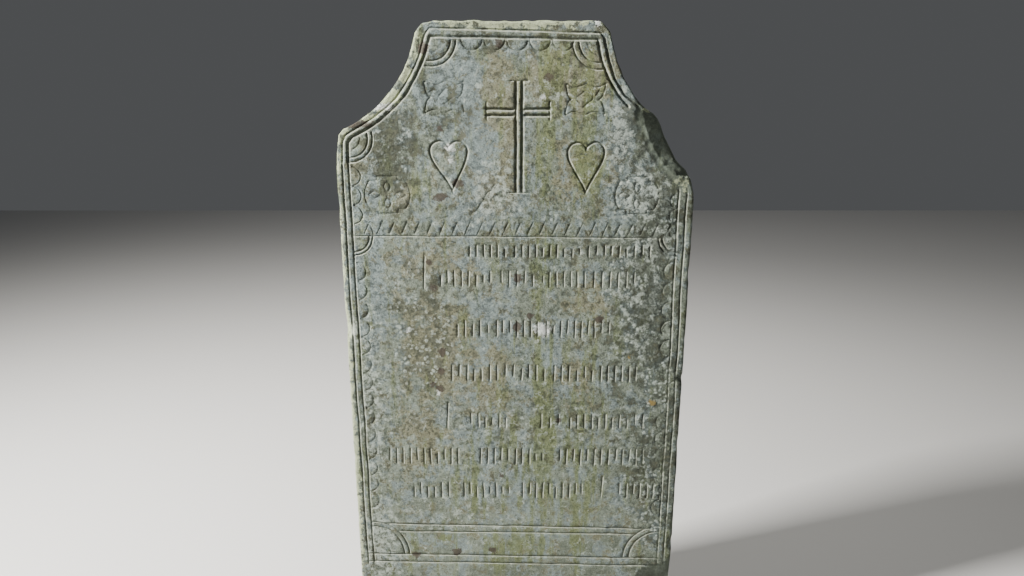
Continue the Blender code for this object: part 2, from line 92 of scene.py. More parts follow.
BORDER_CUT = (8.6, 4.4)
BORDER_SIDE_CUT = (6.0, 2.6)
COVE_OFFSET = 5.0
COVE_REACH = 8.5
COVE_DEPTH = 2.0

# Dividing lines
MID_LINE = ((-325, 956), (-60, 955), (290, 951))
BAND_LINES = (
    ((-296, 311), (0, 305), (322, 297)),
    ((-258, 292), (0, 289), (262, 284)),
    ((-330, 235), (0, 229), (332, 222)),
    ((-330, 216), (0, 210), (332, 203)),
)
LINE_CUT = (5.6, 2.7)
MID_LINE_CUT = (4.2, 1.5)

# Quarter rounds: each is (centre, radii, from, to) with angles in degrees
CORNER_ROUNDS = (
    ((-160, 1325), (49, 39), 258, 357),
    ((154, 1321), (50, 38), 184, 283),
    ((-323, 1147), (48, 39), 268, 372),
    ((-322, 955), (38, 31), 268, 358),
    ((320, 952), (38, 30), 182, 272),
    ((-317, 235), (80, 69), 0, 89),
    ((320, 224), (80, 67), 91, 180),
)
THIN_ROUNDS = (
    ((-160, 1325), (24,), 262, 352),
    ((154, 1321), (23,), 188, 280),
    ((-323, 1147), (24,), 270, 368),
    ((-322, 955), (40,), 8, 84),
    ((-317, 235), (38,), 4, 86),
    ((320, 224), (38,), 94, 176),
)
THIN_CUT = (3.4, 1.0)

# Cross
CROSS_X = (0.0, 11.6)
CROSS_TOP = 1249
CROSS_FOOT = 1043
CROSS_ARM_Z = (1199, 1187.5)
CROSS_ARM_ENDS = (-56, 64)
CROSS_CUT = (9.0, 4.8)
CROSS_STOPS = (
    ((-11, 1251), (22, 1251)),
    ((-14, 1042), (22, 1042)),
    ((-56, 1210), (-56, 1180)),
    ((64, 1210), (64, 1180)),
)
STOP_CUT = (4.4, 2.0)

# Hearts: (middle across, tip up, how far the tip stands off the middle), then their common measures
HEARTS = ((-130, 1045, 6), (135, 1042, 1))
HEART_WIDTH = 72.0
HEART_HEIGHT = 95.0
HEART_LOBE = 18.6
HEART_FLANK = 24.0
HEART_TIP_LEAN = 7.0
HEART_CUT = (6.6, 3.2)

# Rings: (centre, radius). Side arcs end above and below the middle, and a square tab stands between them
RINGS = (((-251, 1037), 44), ((237, 1036), 43))
RING_END = 27.0
RING_TAB = (20.0, 36.0)
RING_CUT = (3.8, 1.6)
PETAL_CUT = (3.4, 1.2)
PETAL_HALF = 6.2
PETALS_ACROSS = (14.0, 36.5)
PETALS_UP = (5.5, 26.0)

# Hourglass figures: (centre, lines inside it), then half width, half height and waist
HOURGLASSES = (
    ((-136, 1221), (((2, 15), (-10, 3)), ((14, -1), (0, -12)), ((-30, 8), (-22, 12)))),
    (
        (131, 1217),
        (((-17, 3), (-2, 15), (14, 12), (15, 1), (-4, -15)), ((-16, -1), (-10, -6)), ((20, 8), (25, 16))),
    ),
)
HOURGLASS_HALF = 37.0
HOURGLASS_HIGH = 29.0
HOURGLASS_WAIST = 25.0
SWAG_SAG = 7.0

# Scallops: runs of half rounds as (start, step to the next, count, radius, direction in degrees, depth)
SCALLOP_RUNS = (
    ((-103, 1325), (42.2, -0.4), 5, 19.5, -90, 1.9),
    ((-320, 1092), (0.0, -37.5), 3, 18.0, 0, 2.0),
    ((-319, 903), (0.2, -39.5), 14, 18.6, 0, 1.7),
    ((316, 1040), (0.0, -30.0), 3, 14.0, 180, 1.6),
    ((316, 905), (0.0, -41.0), 14, 18.6, 180, 1.6),
)
SCALLOP_WIDTH = 3.9
SCALLOP_SWEEP = 86

# Row of slanting cuts above the mid line, with fainter cuts that lean the other way
SLANT_START = -300
SLANT_END = 296
SLANT_PITCH = 24.8
SLANT_FOOT = 961
SLANT_HEIGHT = 22
SLANT_LEAN = 10
SLANT_CUT = (3.6, 1.5)
SLANT_BACK_CUT = (2.4, 0.45)

# Leaf and scroll marks under the cross: centre, half width, half height, side
LEAVES = ((-59, 1024, 27, 22, 1), (76, 1028, 21, 20, -1))
LEAF_CUT = (3.2, 1.0)

# Inscription: words of plain strokes as (foot, height, runs of (left, right)), then large first strokes
WORD_ROWS = (
    (914, 23, ((-92, -22), (-2, 96), (112, 176), (190, 266))),
    (852, 32, ((-152, -52), (-30, 34), (54, 138), (156, 238))),
    (746, 34, ((-120, -58), (-40, 44), (62, 120), (134, 190))),
    (649, 34, ((-133, -40), (-22, 60), (80, 160), (178, 250))),
    (542, 32, ((-94, -22), (54, 92), (116, 190), (204, 269))),
    (456, 36, ((-271, -124), (-75, 58), (95, 274))),
    (376, 35, ((-222, -146), (-113, -15), (16, 144), (227, 314))),
)
FIRST_STROKES = ((-186, 850, 64), (-146, 542, 56), (186, 374, 50))
STROKE_PITCH = 13.8
STROKE_CUT = (4.6, 2.1)
HAIR_CUT = (2.2, 0.8)
GUIDE_CUT = (1.6, 0.28)
GUIDE_GAP = 1.5
ROW_FALL = 0.008
STROKE_SHAKE = 0.7
STROKE_LEANS = (-0.4, 0.9)
STROKE_FEET = (0.0, 0.0, 0.06, 0.3)
STROKE_HEADS = (1.0, 1.0, 0.94, 0.68)

# Stray scratches and short marks
SCRATCHES = (
    ((31, 358), (98, 309)), ((36, 352), (74, 330)), ((-68, 271), (-24, 240)), ((32, 276), (66, 246)),
    ((-188, 199), (-171, 178)), ((-134, 194), (-121, 178)), ((-40, 262), (-10, 256)),
)
SCRATCH_CUT = (2.4, 0.7)

# Broken right shoulder: the flake's edge on the face, its fall to the right and its steep lower wall
FLAKE_EDGE = (
    (196, 1268), (207, 1246), (224, 1226), (229, 1212), (222, 1190), (221, 1177), (229, 1164),
    (237, 1154), (243, 1138), (249, 1123), (258, 1107), (268, 1093), (283, 1077), (297, 1062),
)
FLAKE_FOOT = ((297, 1062), (312, 1048), (330, 1040), (352, 1036))
FLAKE_REGION = FLAKE_EDGE + FLAKE_FOOT + ((420, 1036), (420, 1300), (200, 1300))
FACET_EDGE = ((240, 1196), (246, 1166), (257, 1140), (270, 1116), (288, 1092), (304, 1078))
FACET_REGION = FACET_EDGE + ((352, 1066), (352, 1204), (245, 1204))
FLAKE_STEP = 1.6
FLAKE_STEP_WIDTH = 9.0
FLAKE_FALL = 0.085
FLAKE_FOOT_FALL = 0.42
FLAKE_DEEPEST = 26.0
FLAKE_HILLS = (101, (34.0, 0.8), (12.0, 0.45))
FLAKE_ROUGH_FROM = (2.0, 16.0)
FACET_FALL = 0.38

# Lower right flake: its edge on the face
FOOT_FLAKE_EDGE = (
    (352, 252), (334, 214), (300, 204), (276, 196), (268, 170), (288, 130), (316, 96), (352, 60),
)
FOOT_FLAKE_FALL = 0.28
FOOT_FLAKE_DEEPEST = 17.0
FOOT_FLAKE_MIDDLE = 0.9
FOOT_FLAKE_HILLS = (111, (24.0, 0.3))

# Chips on the arrises: (across, up, radius across, radius up, depth)
CHIPS = (
    (-350, 764, 15, 42, 9), (-352, 1010, 8, 16, 5), (351, 654, 20, 15, 8), (351, 500, 9, 30, 5),
    (350, 262, 14, 24, 7), (-351, 470, 7, 18, 4), (351, 880, 8, 24, 5), (-349, 330, 6, 14, 4),
    (-172, 1357, 12, 9, 6), (60, 1361, 26, 6, 6), (-60, 1362, 18, 5, 5), (120, 1361, 16, 6, 5),
    (-300, 1182, 9, 7, 4), (-205, 1290, 8, 10, 4), (-351, 130, 9, 30, 6),
)
CHIP_WARP = (14.0, 3.0, 121)
CRACKS = (((352, 662), (338, 655), (328, 647), (316, 641)),)
CRACK_CUT = (3.6, 3.0)

# Unevenness and wear. Hills are (seed, then a pitch and a height for each size of hill),
# and what sways or warps is (pitch, reach, seed)
FACE_REST = 1.6
FACE_HILLS = (131, (150.0, 0.45), (48.0, 0.3), (17.0, 0.26), (9.5, 0.2))
CRUST_HILLS = (136, (44.0, 1.0), (15.0, 0.6), (7.5, 0.35))
CRUST_LIFT = 0.45
CRUST_EDGE = (-0.04, 0.1)
CUT_LOST_BELOW = 3.5
BROKEN_FROM = 2.5
ARRIS_RADIUS = 10.5
ARRIS_LIMITS = (2.0, 14.0)
FRONT_ARRIS_HILLS = (141, (60.0, 3.0), (15.0, 0.8))
BACK_ARRIS_HILLS = (161, *FRONT_ARRIS_HILLS[1:])
ARRIS_GROUND = 0.4
ARRIS_FLATNESS = 0.6
GROUND_CLEAR = 14.0
SIDE_HILLS = (192, (34.0, 1.0), (11.0, 0.7))
SIDE_REST = 0.6
SIDE_EDGE = 0.16
BREAK_STARTS = 8
BREAK_REACH = 12.0
BREAK_ROUGHER = 1.6
BROKEN_HILLS = (191, (26.0, 1.9), (9.0, 1.1))
BACK_HILLS = (151, (90.0, 2.2), (30.0, 1.6), (13.0, 0.9))
OUTLINE_ROUGHNESS = 0.8
CROWN_ROUGHNESS = 1.6
CROWN_ROUGH_FROM = (1335, 1352)
BITE_MIDDLE = 0.7
BITE_HILLS = (71, (46.0, 0.5), (13.0, 0.5))
LIP = 0.09
CUT_REACH = 1.45
FULL_CUT = 2.0
SWAY = (55.0, 0.9, 81)
TREMBLE = (14.0, 0.22, 83)
CUT_EVENNESS = 0.86
CUT_WEAR_HILLS = (91, (95.0, 0.26), (28.0, 0.14))
WORN_RIGHT = ((180, 330), 0.22)
WORN_LOW_RIGHT = ((270, 330), (560, 760), 0.25)
PITS = 380
PIT_RADII = (2.2, 6.5)
PIT_DEPTHS = (0.25, 0.9)
PIT_ACROSS = (-340, 340)
PIT_UP = (10, 1340)
LICHEN_LUMPS = 900
LUMP_SPAN = (300, 1235)
LUMP_RIGHT = 322
LUMP_BAND = 200
LUMP_CROWDING = 1.5
LUMP_RADII = (4.5, 8.5)
LUMP_HEIGHTS = (0.35, 1.0)
WHITE_LUMP_RADIUS = 5.0
WHITE_LUMP_HEIGHTS = (1.0, 1.9)

# Places of colour: each is (across, up, half width, half height, strength)
ALGAE = (
    (52, 560, 26, 270, 0.95), (48, 900, 20, 170, 0.6), (70, 1270, 60, 80, 0.6), (60, 1130, 36, 130, 0.45),
    (-6, 470, 22, 150, 0.6), (120, 420, 60, 220, 0.5), (130, 1200, 50, 120, 0.5),
    (140, 1080, 40, 60, 0.5), (8, 250, 110, 60, 0.5), (-147, 1023, 6, 6, 1.0), (-162, 266, 11, 9, 1.6),
    (-110, 430, 60, 120, 0.3), (-70, 560, 16, 180, 0.35), (-240, 1060, 40, 60, 0.3),
    (160, 620, 40, 150, 0.3),
)
WARM = (
    (-165, 725, 80, 140, 0.7), (-200, 520, 60, 90, 0.45), (150, 820, 50, 60, 0.4),
    (-60, 640, 60, 90, 0.5), (120, 650, 70, 60, 0.35), (-30, 1200, 26, 110, 0.9), (95, 1260, 90, 80, 0.7),
    (120, 1090, 70, 70, 0.5), (-250, 1130, 60, 90, 0.35), (-40, 1050, 50, 60, 0.4),
    (-160, 900, 90, 40, 0.4), (-215, 1035, 30, 36, 0.6),
)
COOL = (
    (-85, 1120, 46, 190, 0.95), (62, 700, 26, 60, 0.8), (-70, 520, 34, 150, 0.5), (20, 420, 40, 90, 0.3),
    (-290, 850, 40, 170, 0.5), (205, 1150, 36, 110, 1.0), (-140, 1225, 40, 40, 0.7),
    (-290, 1060, 30, 60, 0.4), (235, 1040, 60, 60, 0.7), (-40, 780, 40, 70, 0.4), (15, 1010, 40, 60, 0.4),
)
PALE = (
    (200, 1160, 30, 90, 0.5), (250, 1040, 70, 60, 0.55), (250, 850, 60, 200, 0.3),
    (280, 940, 50, 60, 0.45), (-300, 250, 50, 140, 0.45), (55, 762, 18, 15, 1.1),
    (-127, 1128, 8, 8, 1.25), (-126, 1105, 5, 6, 1.2), (-220, 760, 5, 5, 0.9), (-40, 1040, 70, 70, 0.35),
    (60, 1225, 60, 26, 0.3), (-300, 600, 30, 250, 0.35), (-250, 1195, 34, 16, 0.6),
    (-335, 760, 14, 44, 0.8), (-127, 1050, 5, 12, 0.9), (-72, 1235, 8, 40, 0.5), (0, 560, 300, 60, 0.12),
    (-130, 330, 200, 60, 0.15),
)
CRUST = (
    (250, 850, 70, 230, 0.85), (285, 1000, 60, 70, 0.9), (215, 1130, 50, 70, 0.7),
    (300, 650, 36, 120, 0.8), (240, 1040, 60, 60, 0.35), (170, 930, 80, 40, 0.5),
    (-20, 1010, 120, 40, 0.35), (-250, 1120, 70, 90, 0.6), (-190, 740, 90, 220, 0.6),
    (-40, 1330, 120, 14, 0.3), (285, 400, 50, 260, 0.7), (-170, 1260, 30, 40, 0.4),
)
DARK = (
    (285, 800, 60, 260, 0.5), (228, 1185, 20, 60, 0.75), (322, 130, 70, 100, 0.9),
    (290, 1000, 60, 90, 0.5), (-70, 1315, 90, 26, 0.35), (110, 1325, 60, 22, 0.35),
    (260, 520, 50, 140, 0.35), (-245, 1130, 60, 110, 0.58), (30, 900, 120, 30, 0.2),
    (20, 160, 300, 40, 0.35), (-230, 1030, 60, 40, 0.25), (-180, 1250, 40, 60, 0.4),
    (325, 450, 34, 330, 0.45), (-150, 840, 60, 60, 0.25), (210, 700, 60, 120, 0.35),
    (-130, 1180, 60, 60, 0.3), (240, 1100, 30, 50, 0.5),
)

# Where the stone is calmer in its grain
CALM = ((0, 250, 340, 210, 1.0), (-60, 700, 40, 130, 0.5), (-85, 1160, 50, 150, 0.5))

# Small clear stains, with the same fields
BROWN = (
    (-114, 1060, 13, 10, 0.95), (-146, 1033, 17, 8, 0.85), (-146, 1163, 7, 7, 0.8),
    (-33, 1318, 8, 10, 0.7), (61, 1258, 11, 8, 0.75), (-174, 1309, 11, 12, 0.95), (-153, 713, 9, 9, 1.1),
    (-156, 669, 9, 9, 1.1), (-159, 631, 8, 7, 1.1), (2, 768, 9, 10, 1.1), (28, 791, 8, 6, 1.1),
    (171, 783, 10, 8, 1.1), (4, 869, 8, 10, 1.1), (-174, 904, 7, 7, 1.0), (-132, 240, 11, 10, 1.1),
    (-222, 232, 10, 8, 1.1), (-51, 244, 10, 8, 1.1), (-300, 1172, 34, 9, 0.6), (90, 560, 7, 6, 0.8),
    (-30, 430, 7, 6, 0.8), (-170, 850, 12, 8, 0.7), (-175, 640, 7, 6, 0.8),
)
WHITE = (
    (55, 762, 21, 15, 0.62), (-127, 1128, 11, 8, 0.7), (-126, 1105, 4, 5, 0.9), (-220, 760, 5, 5, 0.8),
    (49, 1221, 5, 5, 0.8), (-250, 1204, 22, 8, 0.6), (150, 1353, 8, 8, 0.6), (-163, 622, 5, 5, 0.8),
)
ORANGE = ((287, 598, 9, 7, 0.85), (236, 700, 4, 4, 0.6))

# Cream growth along the rim, partly a painted highlight where the rims face the key light, with the same
# fields
RIM_CREAM_AND_HIGHLIGHT = (
    (0, 1362, 200, 19, 0.95), (322, 1058, 20, 16, 0.6), (248, 1196, 12, 6, 0.9),
    (-250, 1205, 40, 18, 0.5), (-346, 560, 9, 520, 0.8), (-343, 1120, 9, 60, 0.6),
    (-190, 1322, 10, 34, 0.9), (-208, 1272, 13, 28, 0.95), (-240, 1222, 22, 14, 0.95),
    (-286, 1186, 30, 9, 0.8), (-335, 1158, 16, 9, 0.7),
)

# Raised crusts under the white stains: (across, up, half width, half height, count)
WHITE_LUMPS = ((55, 762, 16, 11, 16), (-127, 1128, 8, 5, 6), (-126, 1105, 3, 4, 3))

# The side the key light comes from, for painted light: walls that face it are painted pale, walls that face
# away are painted dark
KEY_LIGHT_SIDE = (-0.82, 0.0, 0.57)

# Growths: (name, places, how far their edges wander, strength on the sides and back)
GROWTH_PLACES = (
    ("algae", ALGAE, 14.0, 0.45), ("warm", WARM, 18.0, 0.5), ("cool", COOL, 18.0, 0.5),
    ("pale", PALE, 5.0, 0.4), ("dark", DARK, 16.0, 0.32), ("crust", CRUST, 14.0, 0.35),
    ("calm", CALM, 16.0, 0.4),
)

# Where a place fades and ends, in its own half widths. Its edges wander in two sizes of swing, as shares
# of how far they wander: (pitch, reach, seed). Patches on the sides and back are (pitch, first seed)
PLACE_SOFT = 0.2
PLACE_END = 1.35
WARPS = ((2.2, 1.0, 201), (0.7, 0.4, 203))
ELSEWHERE = (130.0, 211)
CREAM_AND_HIGHLIGHT_ELSEWHERE = 0.6
CREAM_AND_HIGHLIGHT_WARP = 5.0
CREAM_AND_HIGHLIGHT_SOFT = 0.4
STAIN_WARP = 2.4
STAIN_EDGE = 0.35
STAIN_STRENGTH = 1.35

# Measures that turn a pattern into patches
DARK_EVERYWHERE = 0.14
PALE_EVERYWHERE = 0.14
DOTS_EVERYWHERE = 0.14
PATTERN_LOW = 0.28
PATTERN_HIGH = 0.72
PATCH_WEIGHT = 0.8
PATCH_NEED = 0.9
BUMP_HEIGHT = 0.008
BUMP_STRENGTH = 0.9
CRUST_CELLS = 105.0
CRUST_SHAKE = 0.012
CRUST_SHAKE_SCALE = 60.0

# Patterns of the stone: (scale, detail, roughness, distortion). The streaks run up and down
PATTERNS = {
    "broad": (7.0, 7.0, 0.6, 0.1), "patchy": (24.0, 11.0, 0.72, 0.15), "mottle": (74.0, 9.0, 0.74, 0.1),
    "speck": (170.0, 7.0, 0.74, 0.0), "grain": (420.0, 5.0, 0.7, 0.0), "scales": (40.0, 11.0, 0.76, 0.2),
}
STREAKS = (1.0, 9.0, 0.66, 0.2)
STREAK_STRETCH = (48.0, 48.0, 6.0)

# Colours, linear
STONE_LIGHT = (0.275, 0.318, 0.255)
STONE_DARK = (0.16, 0.186, 0.142)
COOL_STONE = (0.236, 0.293, 0.288)
WARM_STONE = (0.248, 0.237, 0.142)
ALGAE_GREEN = (0.175, 0.205, 0.08)
LICHEN_PALE = (0.43, 0.48, 0.42)
LICHEN_DARK = (0.04, 0.047, 0.034)
LICHEN_WHITE = (0.72, 0.75, 0.71)
# Cream growth, and a painted highlight on the rims that face the key light
CREAM_AND_HIGHLIGHT = (0.47, 0.52, 0.33)
STAIN_BROWN = (0.066, 0.052, 0.04)
STAIN_ORANGE = (0.33, 0.22, 0.045)
# Painted shade on the walls of cuts that face away from the key light, and a darker colour in the deepest
# part of every cut
CUT_DARK_AND_SHADE = (0.07, 0.08, 0.055)
# Painted highlight for the walls of cuts that face the key light
CUT_WALL_HIGHLIGHT = (0.54, 0.57, 0.46)
BROKEN_STONE = (0.15, 0.178, 0.138)
BLACK = (0.0, 0.0, 0.0)
FULL = (1.0, 1.0, 1.0)

# Growths over the stone: (field, share everywhere, pattern, softness of the edge, strength, colour)
GROWTHS = (
    ("cool", 0.4, "patchy", 0.06, 0.85, COOL_STONE),
    ("warm", 0.25, "scales", 0.06, 0.75, WARM_STONE),
    ("algae", 0.14, "streaks", 0.2, 0.72, ALGAE_GREEN),
)

# Stains over everything else, and the cream that is partly a painted highlight: (field, pattern, strength,
# colour)
STAINS = (
    ("cream_and_highlight", "mottle", 0.9, CREAM_AND_HIGHLIGHT), ("brown", "speck", 0.88, STAIN_BROWN),
    ("white", "speck", 0.85, LICHEN_WHITE), ("orange", "speck", 0.7, STAIN_ORANGE),
)

# Camera and light. Lamps are (name, place, target, size, power, colour)
CAMERA_AT = (-0.0082, -1.402, 1.201)
CAMERA_PITCH = 75.5
CAMERA_LENS = 24.44
LAMPS = (
    ("key", (-2.52, -0.82, 2.48), (0.0, 0.0, 0.75), 0.35, 450.0, (1.0, 0.985, 0.95)),
    ("fill", (2.2, -2.6, 1.8), (0.0, 0.0, 0.7), 2.5, 10.0, (0.92, 0.96, 1.0)),
    ("rim", (0.4, 1.6, 2.9), (0.0, 0.0, 1.1), 1.4, 45.0, (1.0, 0.98, 0.93)),
)
WORLD_COLOUR = (0.8, 0.83, 0.86, 1.0)
WORLD_STRENGTH = 0.1
FLOOR_SIZE = 14.0
FLOOR_COLOUR = (0.62, 0.61, 0.59, 1.0)


def resample(points, step, closed=False):
    """Evenly spaced points along a line, about a step apart."""
    points = np.asarray(points, float)
    if closed:
        points = np.vstack([points, points[:1]])
    lengths = np.hypot(*np.diff(points, axis=0).T)
    travel = np.concatenate([[0.0], np.cumsum(lengths)])
    count = max(2, int(round(travel[-1] / step)) + 1)
    places = np.linspace(0.0, travel[-1], count)
    line = np.column_stack([np.interp(places, travel, points[:, i]) for i in (0, 1)])
    return line[:-1] if closed else line


def arc(centre, radius, start, end, step=3.0):
    """Points of an arc from one angle to another, in degrees counter-clockwise from across."""
    count = max(4, int(abs(math.radians(end - start)) * radius / step))
    turns = np.radians(np.linspace(start, end, count + 1))
    return np.column_stack([centre[0] + radius * np.cos(turns), centre[1] + radius * np.sin(turns)])


def rolling(points, pitch, seed):
    """Smooth random rise and fall between -1 and 1, with hills about a pitch apart."""
    grid = np.random.default_rng(seed).uniform(-1.0, 1.0, (256, 256))
    place = points / pitch + 64.0
    cell = np.floor(place).astype(int)
    share = place - cell
    share = share * share * (3.0 - 2.0 * share)
    low, high = cell % 256, (cell + 1) % 256
    near = grid[low[:, 0], low[:, 1]] * (1 - share[:, 0]) + grid[high[:, 0], low[:, 1]] * share[:, 0]
    far = grid[low[:, 0], high[:, 1]] * (1 - share[:, 0]) + grid[high[:, 0], high[:, 1]] * share[:, 0]
    return near * (1 - share[:, 1]) + far * share[:, 1]


def hills(points, ground):
    """Several sizes of rolling ground laid on each other, from a seed and pairs of pitch and height."""
    seed, *layers = ground
    return sum(height * rolling(points, pitch, seed + i) for i, (pitch, height) in enumerate(layers))


def drift(points, pitch, reach, seed):
    """A smooth random shift of each point, across and up."""
    return reach * np.column_stack([rolling(points, pitch, seed), rolling(points, pitch, seed + 1)])


def smooth_step(value, low, high):
    share = np.clip((value - low) / (high - low), 0.0, 1.0)
    return share * share * (3.0 - 2.0 * share)


def distance_to(points, line, reach, closed=False):
    """Distance of each point to a line, and reach for those farther off."""
    line = np.asarray(line, float)
    ends = np.vstack([line[1:], line[:1]]) if closed else line[1:]
    starts = line if closed else line[:-1]
    gap = np.full(len(points), float(reach))
    box = ((points > line.min(0) - reach) & (points < line.max(0) + reach)).all(1)
    near_line = np.flatnonzero(box)
    for start, end in zip(starts, ends):
        local = points[near_line]
        inside = ((local > np.minimum(start, end) - reach) & (local < np.maximum(start, end) + reach)).all(1)
        near = near_line[inside]
        if not len(near):
            continue
        offset, along = points[near] - start, end - start
        share = np.clip(offset @ along / max(along @ along, 1e-9), 0.0, 1.0)
        gap[near] = np.minimum(gap[near], np.hypot(*(offset - share[:, None] * along).T))
    return gap


def inside(points, outline):
    """Which points lie inside a closed outline."""
    outline = np.asarray(outline, float)
    crossed = np.zeros(len(points), bool)
    x, z = points[:, 0], points[:, 1]
    for (x0, z0), (x1, z1) in zip(outline, np.roll(outline, -1, axis=0)):
        if z0 == z1:
            continue
        spans = (z0 > z) != (z1 > z)
        crossed ^= spans & (x < (x1 - x0) * (z - z0) / (z1 - z0) + x0)
    return crossed


def hollow_angle(up):
    return math.degrees(math.asin((up - HOLLOW_CENTRE[1]) / HOLLOW_RADIUS))


def outline():
    """The stone's outline, counter-clockwise from the foot of the right side, with its roughness."""
    right = [(HALF_WIDTH, 0.0), (HALF_WIDTH, STRAIGHT_SIDE)] + list(RIGHT_EDGE[::-1])
    corner = arc(CROWN_CORNER_CENTRE, CROWN_CORNER_RADIUS, 90, 175, 2.0)
    hollow = arc(HOLLOW_CENTRE, HOLLOW_RADIUS, *(hollow_angle(up) for up in HOLLOW_SPAN))
    left = list(LEFT_SHOULDER) + [(-HALF_WIDTH, STRAIGHT_SIDE), (-HALF_WIDTH, 0.0)]
    line = resample(np.vstack([right, CROWN, corner, hollow, left]), OUTLINE_STEP, closed=True)
    along = np.roll(line, -3, axis=0) - np.roll(line, 3, axis=0)
    inward = np.column_stack([-along[:, 1], along[:, 0]]) / np.hypot(*along.T)[:, None]
    travel = np.column_stack([np.arange(len(line)) * OUTLINE_STEP, np.zeros(len(line))])
    rough = OUTLINE_ROUGHNESS + CROWN_ROUGHNESS * smooth_step(line[:, 1], *CROWN_ROUGH_FROM)
    bite = rough * (BITE_MIDDLE + hills(travel, BITE_HILLS))
    bite *= smooth_step(line[:, 1], 0.0, GROUND_CLEAR)
    return line + inward * np.maximum(bite, 0.0)[:, None], inward


def half_heart(middle, tip, lean, side):
    """One side of a heart that stands on its tip: from the cleft round the lobe and down a full flank."""
    x, z = HEART_WIDTH / 2 - HEART_LOBE, HEART_HEIGHT - HEART_LOBE
    cleft = math.degrees(math.acos(-x / HEART_LOBE))
    t = np.linspace(0.0, 1.0, 16)[:, None]
    start, end = np.array((HEART_WIDTH / 2, z)), np.array((side * lean, 0.0))
    low, high = start - (0.0, HEART_FLANK), end + (HEART_TIP_LEAN, HEART_FLANK)
    flank = start * (1 - t) ** 3 + 3 * low * t * (1 - t) ** 2 + 3 * high * t**2 * (1 - t) + end * t**3
    line = np.vstack([arc((x, z), HEART_LOBE, cleft, 0), flank[1:]])
    return np.array((middle, tip)) + line * (side, 1)


def heart_cuts():
    return [(half_heart(*heart, side), *HEART_CUT) for heart in HEARTS for side in (-1, 1)]


def cross_cuts():
    """Two cuts to each bar, the side bars broken by the upright, and a short stop across each end."""
    cuts = [([(x, CROSS_TOP), (x, CROSS_FOOT)], *CROSS_CUT) for x in CROSS_X]
    gap = CROSS_CUT[0] / 2
    for z in CROSS_ARM_Z:
        cuts.append(([(CROSS_ARM_ENDS[0], z), (CROSS_X[0] - gap, z)], *CROSS_CUT))
        cuts.append(([(CROSS_X[1] + gap, z), (CROSS_ARM_ENDS[1], z)], *CROSS_CUT))
    return cuts + [(stop, *STOP_CUT) for stop in CROSS_STOPS]


def petal_cuts(centre, along, near, far):
    """A pointed oval between two distances from a centre."""
    across = np.array([-along[1], along[0]])
    reach = np.linspace(0.0, 1.0, 9)[:, None]
    spine = np.array(centre) + np.array(along) * (near + (far - near) * reach)
    bow = across * PETAL_HALF * np.sin(math.pi * reach)
    return [(spine + bow, *PETAL_CUT), (spine - bow, *PETAL_CUT)]


def ring_cuts(centre, radius):
    """Side arcs, a square tab above and below, and four petals in a cross."""
    x, z = centre
    tab, top = RING_TAB
    sweep = math.degrees(math.asin(RING_END / radius))
    arc_end = radius * math.cos(math.radians(sweep))
    cuts = [
        (arc(centre, radius, 180 - sweep, 180 + sweep), *RING_CUT),
        (arc(centre, radius, -sweep, sweep), *RING_CUT),
    ]
    for up in (-1, 1):
        cuts.append(([(x - tab, z + up * top), (x + tab, z + up * top)], *RING_CUT))
        for side in (-1, 1):
            shoulder = [(x + side * arc_end, z + up * RING_END), (x + side * tab, z + up * (RING_END + 1))]
            cuts.append((shoulder + [(x + side * tab, z + up * top)], *PETAL_CUT))
        cuts += petal_cuts(centre, (0, up), *PETALS_UP) + petal_cuts(centre, (up, 0), *PETALS_ACROSS)
    return cuts


def hourglass_cuts(centre, lines):
    """Sides that bow out to four corners from the waist, swags between the corners, and lines inside."""
    x, z = centre
    share = np.linspace(0.0, 1.0, 12)
    bow = HOURGLASS_WAIST + (HOURGLASS_HALF - HOURGLASS_WAIST) * np.sqrt(1.0 - (1.0 - share) ** 2)
    cuts = []
    for side in (-1, 1):
        for up in (-1, 1):
            cuts.append((np.column_stack([x + side * bow, z + up * HOURGLASS_HIGH * share]), *RING_CUT))
            swag = z + up * (HOURGLASS_HIGH - SWAG_SAG * np.sin(math.pi * share))
            cuts.append((np.column_stack([x + side * HOURGLASS_HALF * share, swag]), *RING_CUT))
    return cuts + [([(x + across, z + up) for across, up in line], *PETAL_CUT) for line in lines]


def scallop_cuts():
    cuts = []
    for start, step, count, radius, facing, depth in SCALLOP_RUNS:
        for i in range(count):
            centre = np.array(start) + np.array(step) * (i + 0.5)
            half = arc(centre, radius, facing - SCALLOP_SWEEP, facing + SCALLOP_SWEEP)
            cuts.append((half, SCALLOP_WIDTH, depth))
    return cuts


def slant_cuts():
    cuts = []
    at = SLANT_START
    while at < SLANT_END:
        foot = SLANT_FOOT - (at - SLANT_START) * ROW_FALL
        top = foot + SLANT_HEIGHT
        cuts.append(([(at, foot), (at + SLANT_LEAN, top)], *SLANT_CUT))
        cuts.append(([(at + SLANT_LEAN + 2, top - 2), (at + SLANT_PITCH - 3, foot + 1)], *SLANT_BACK_CUT))
        at += SLANT_PITCH
    return cuts


def leaf_cuts():
    """A curling stem and a few blades on each side of the cross's foot."""
    cuts = []
    for x, z, half, high, side in LEAVES:
        t = np.linspace(0.0, 1.0, 12)
        stem = np.column_stack([x - side * half * (1 - 2 * t), z - high * np.cos(1.4 * math.pi * t)])
        cuts.append((stem, *LEAF_CUT))
        for share in (0.2, 0.45, 0.7):
            root = np.array([x - side * half * (1 - 2 * share), z - high * math.cos(1.4 * math.pi * share)])
            blade = root + np.column_stack([side * 11 * t[:6], 9 * np.sin(math.pi * t[:6])])
            cuts.append((blade, *THIN_CUT))
        cuts.append((arc((x + side * half * 0.6, z + high * 0.1), 6.5, 20, 300, 2.0), *THIN_CUT))
    return cuts


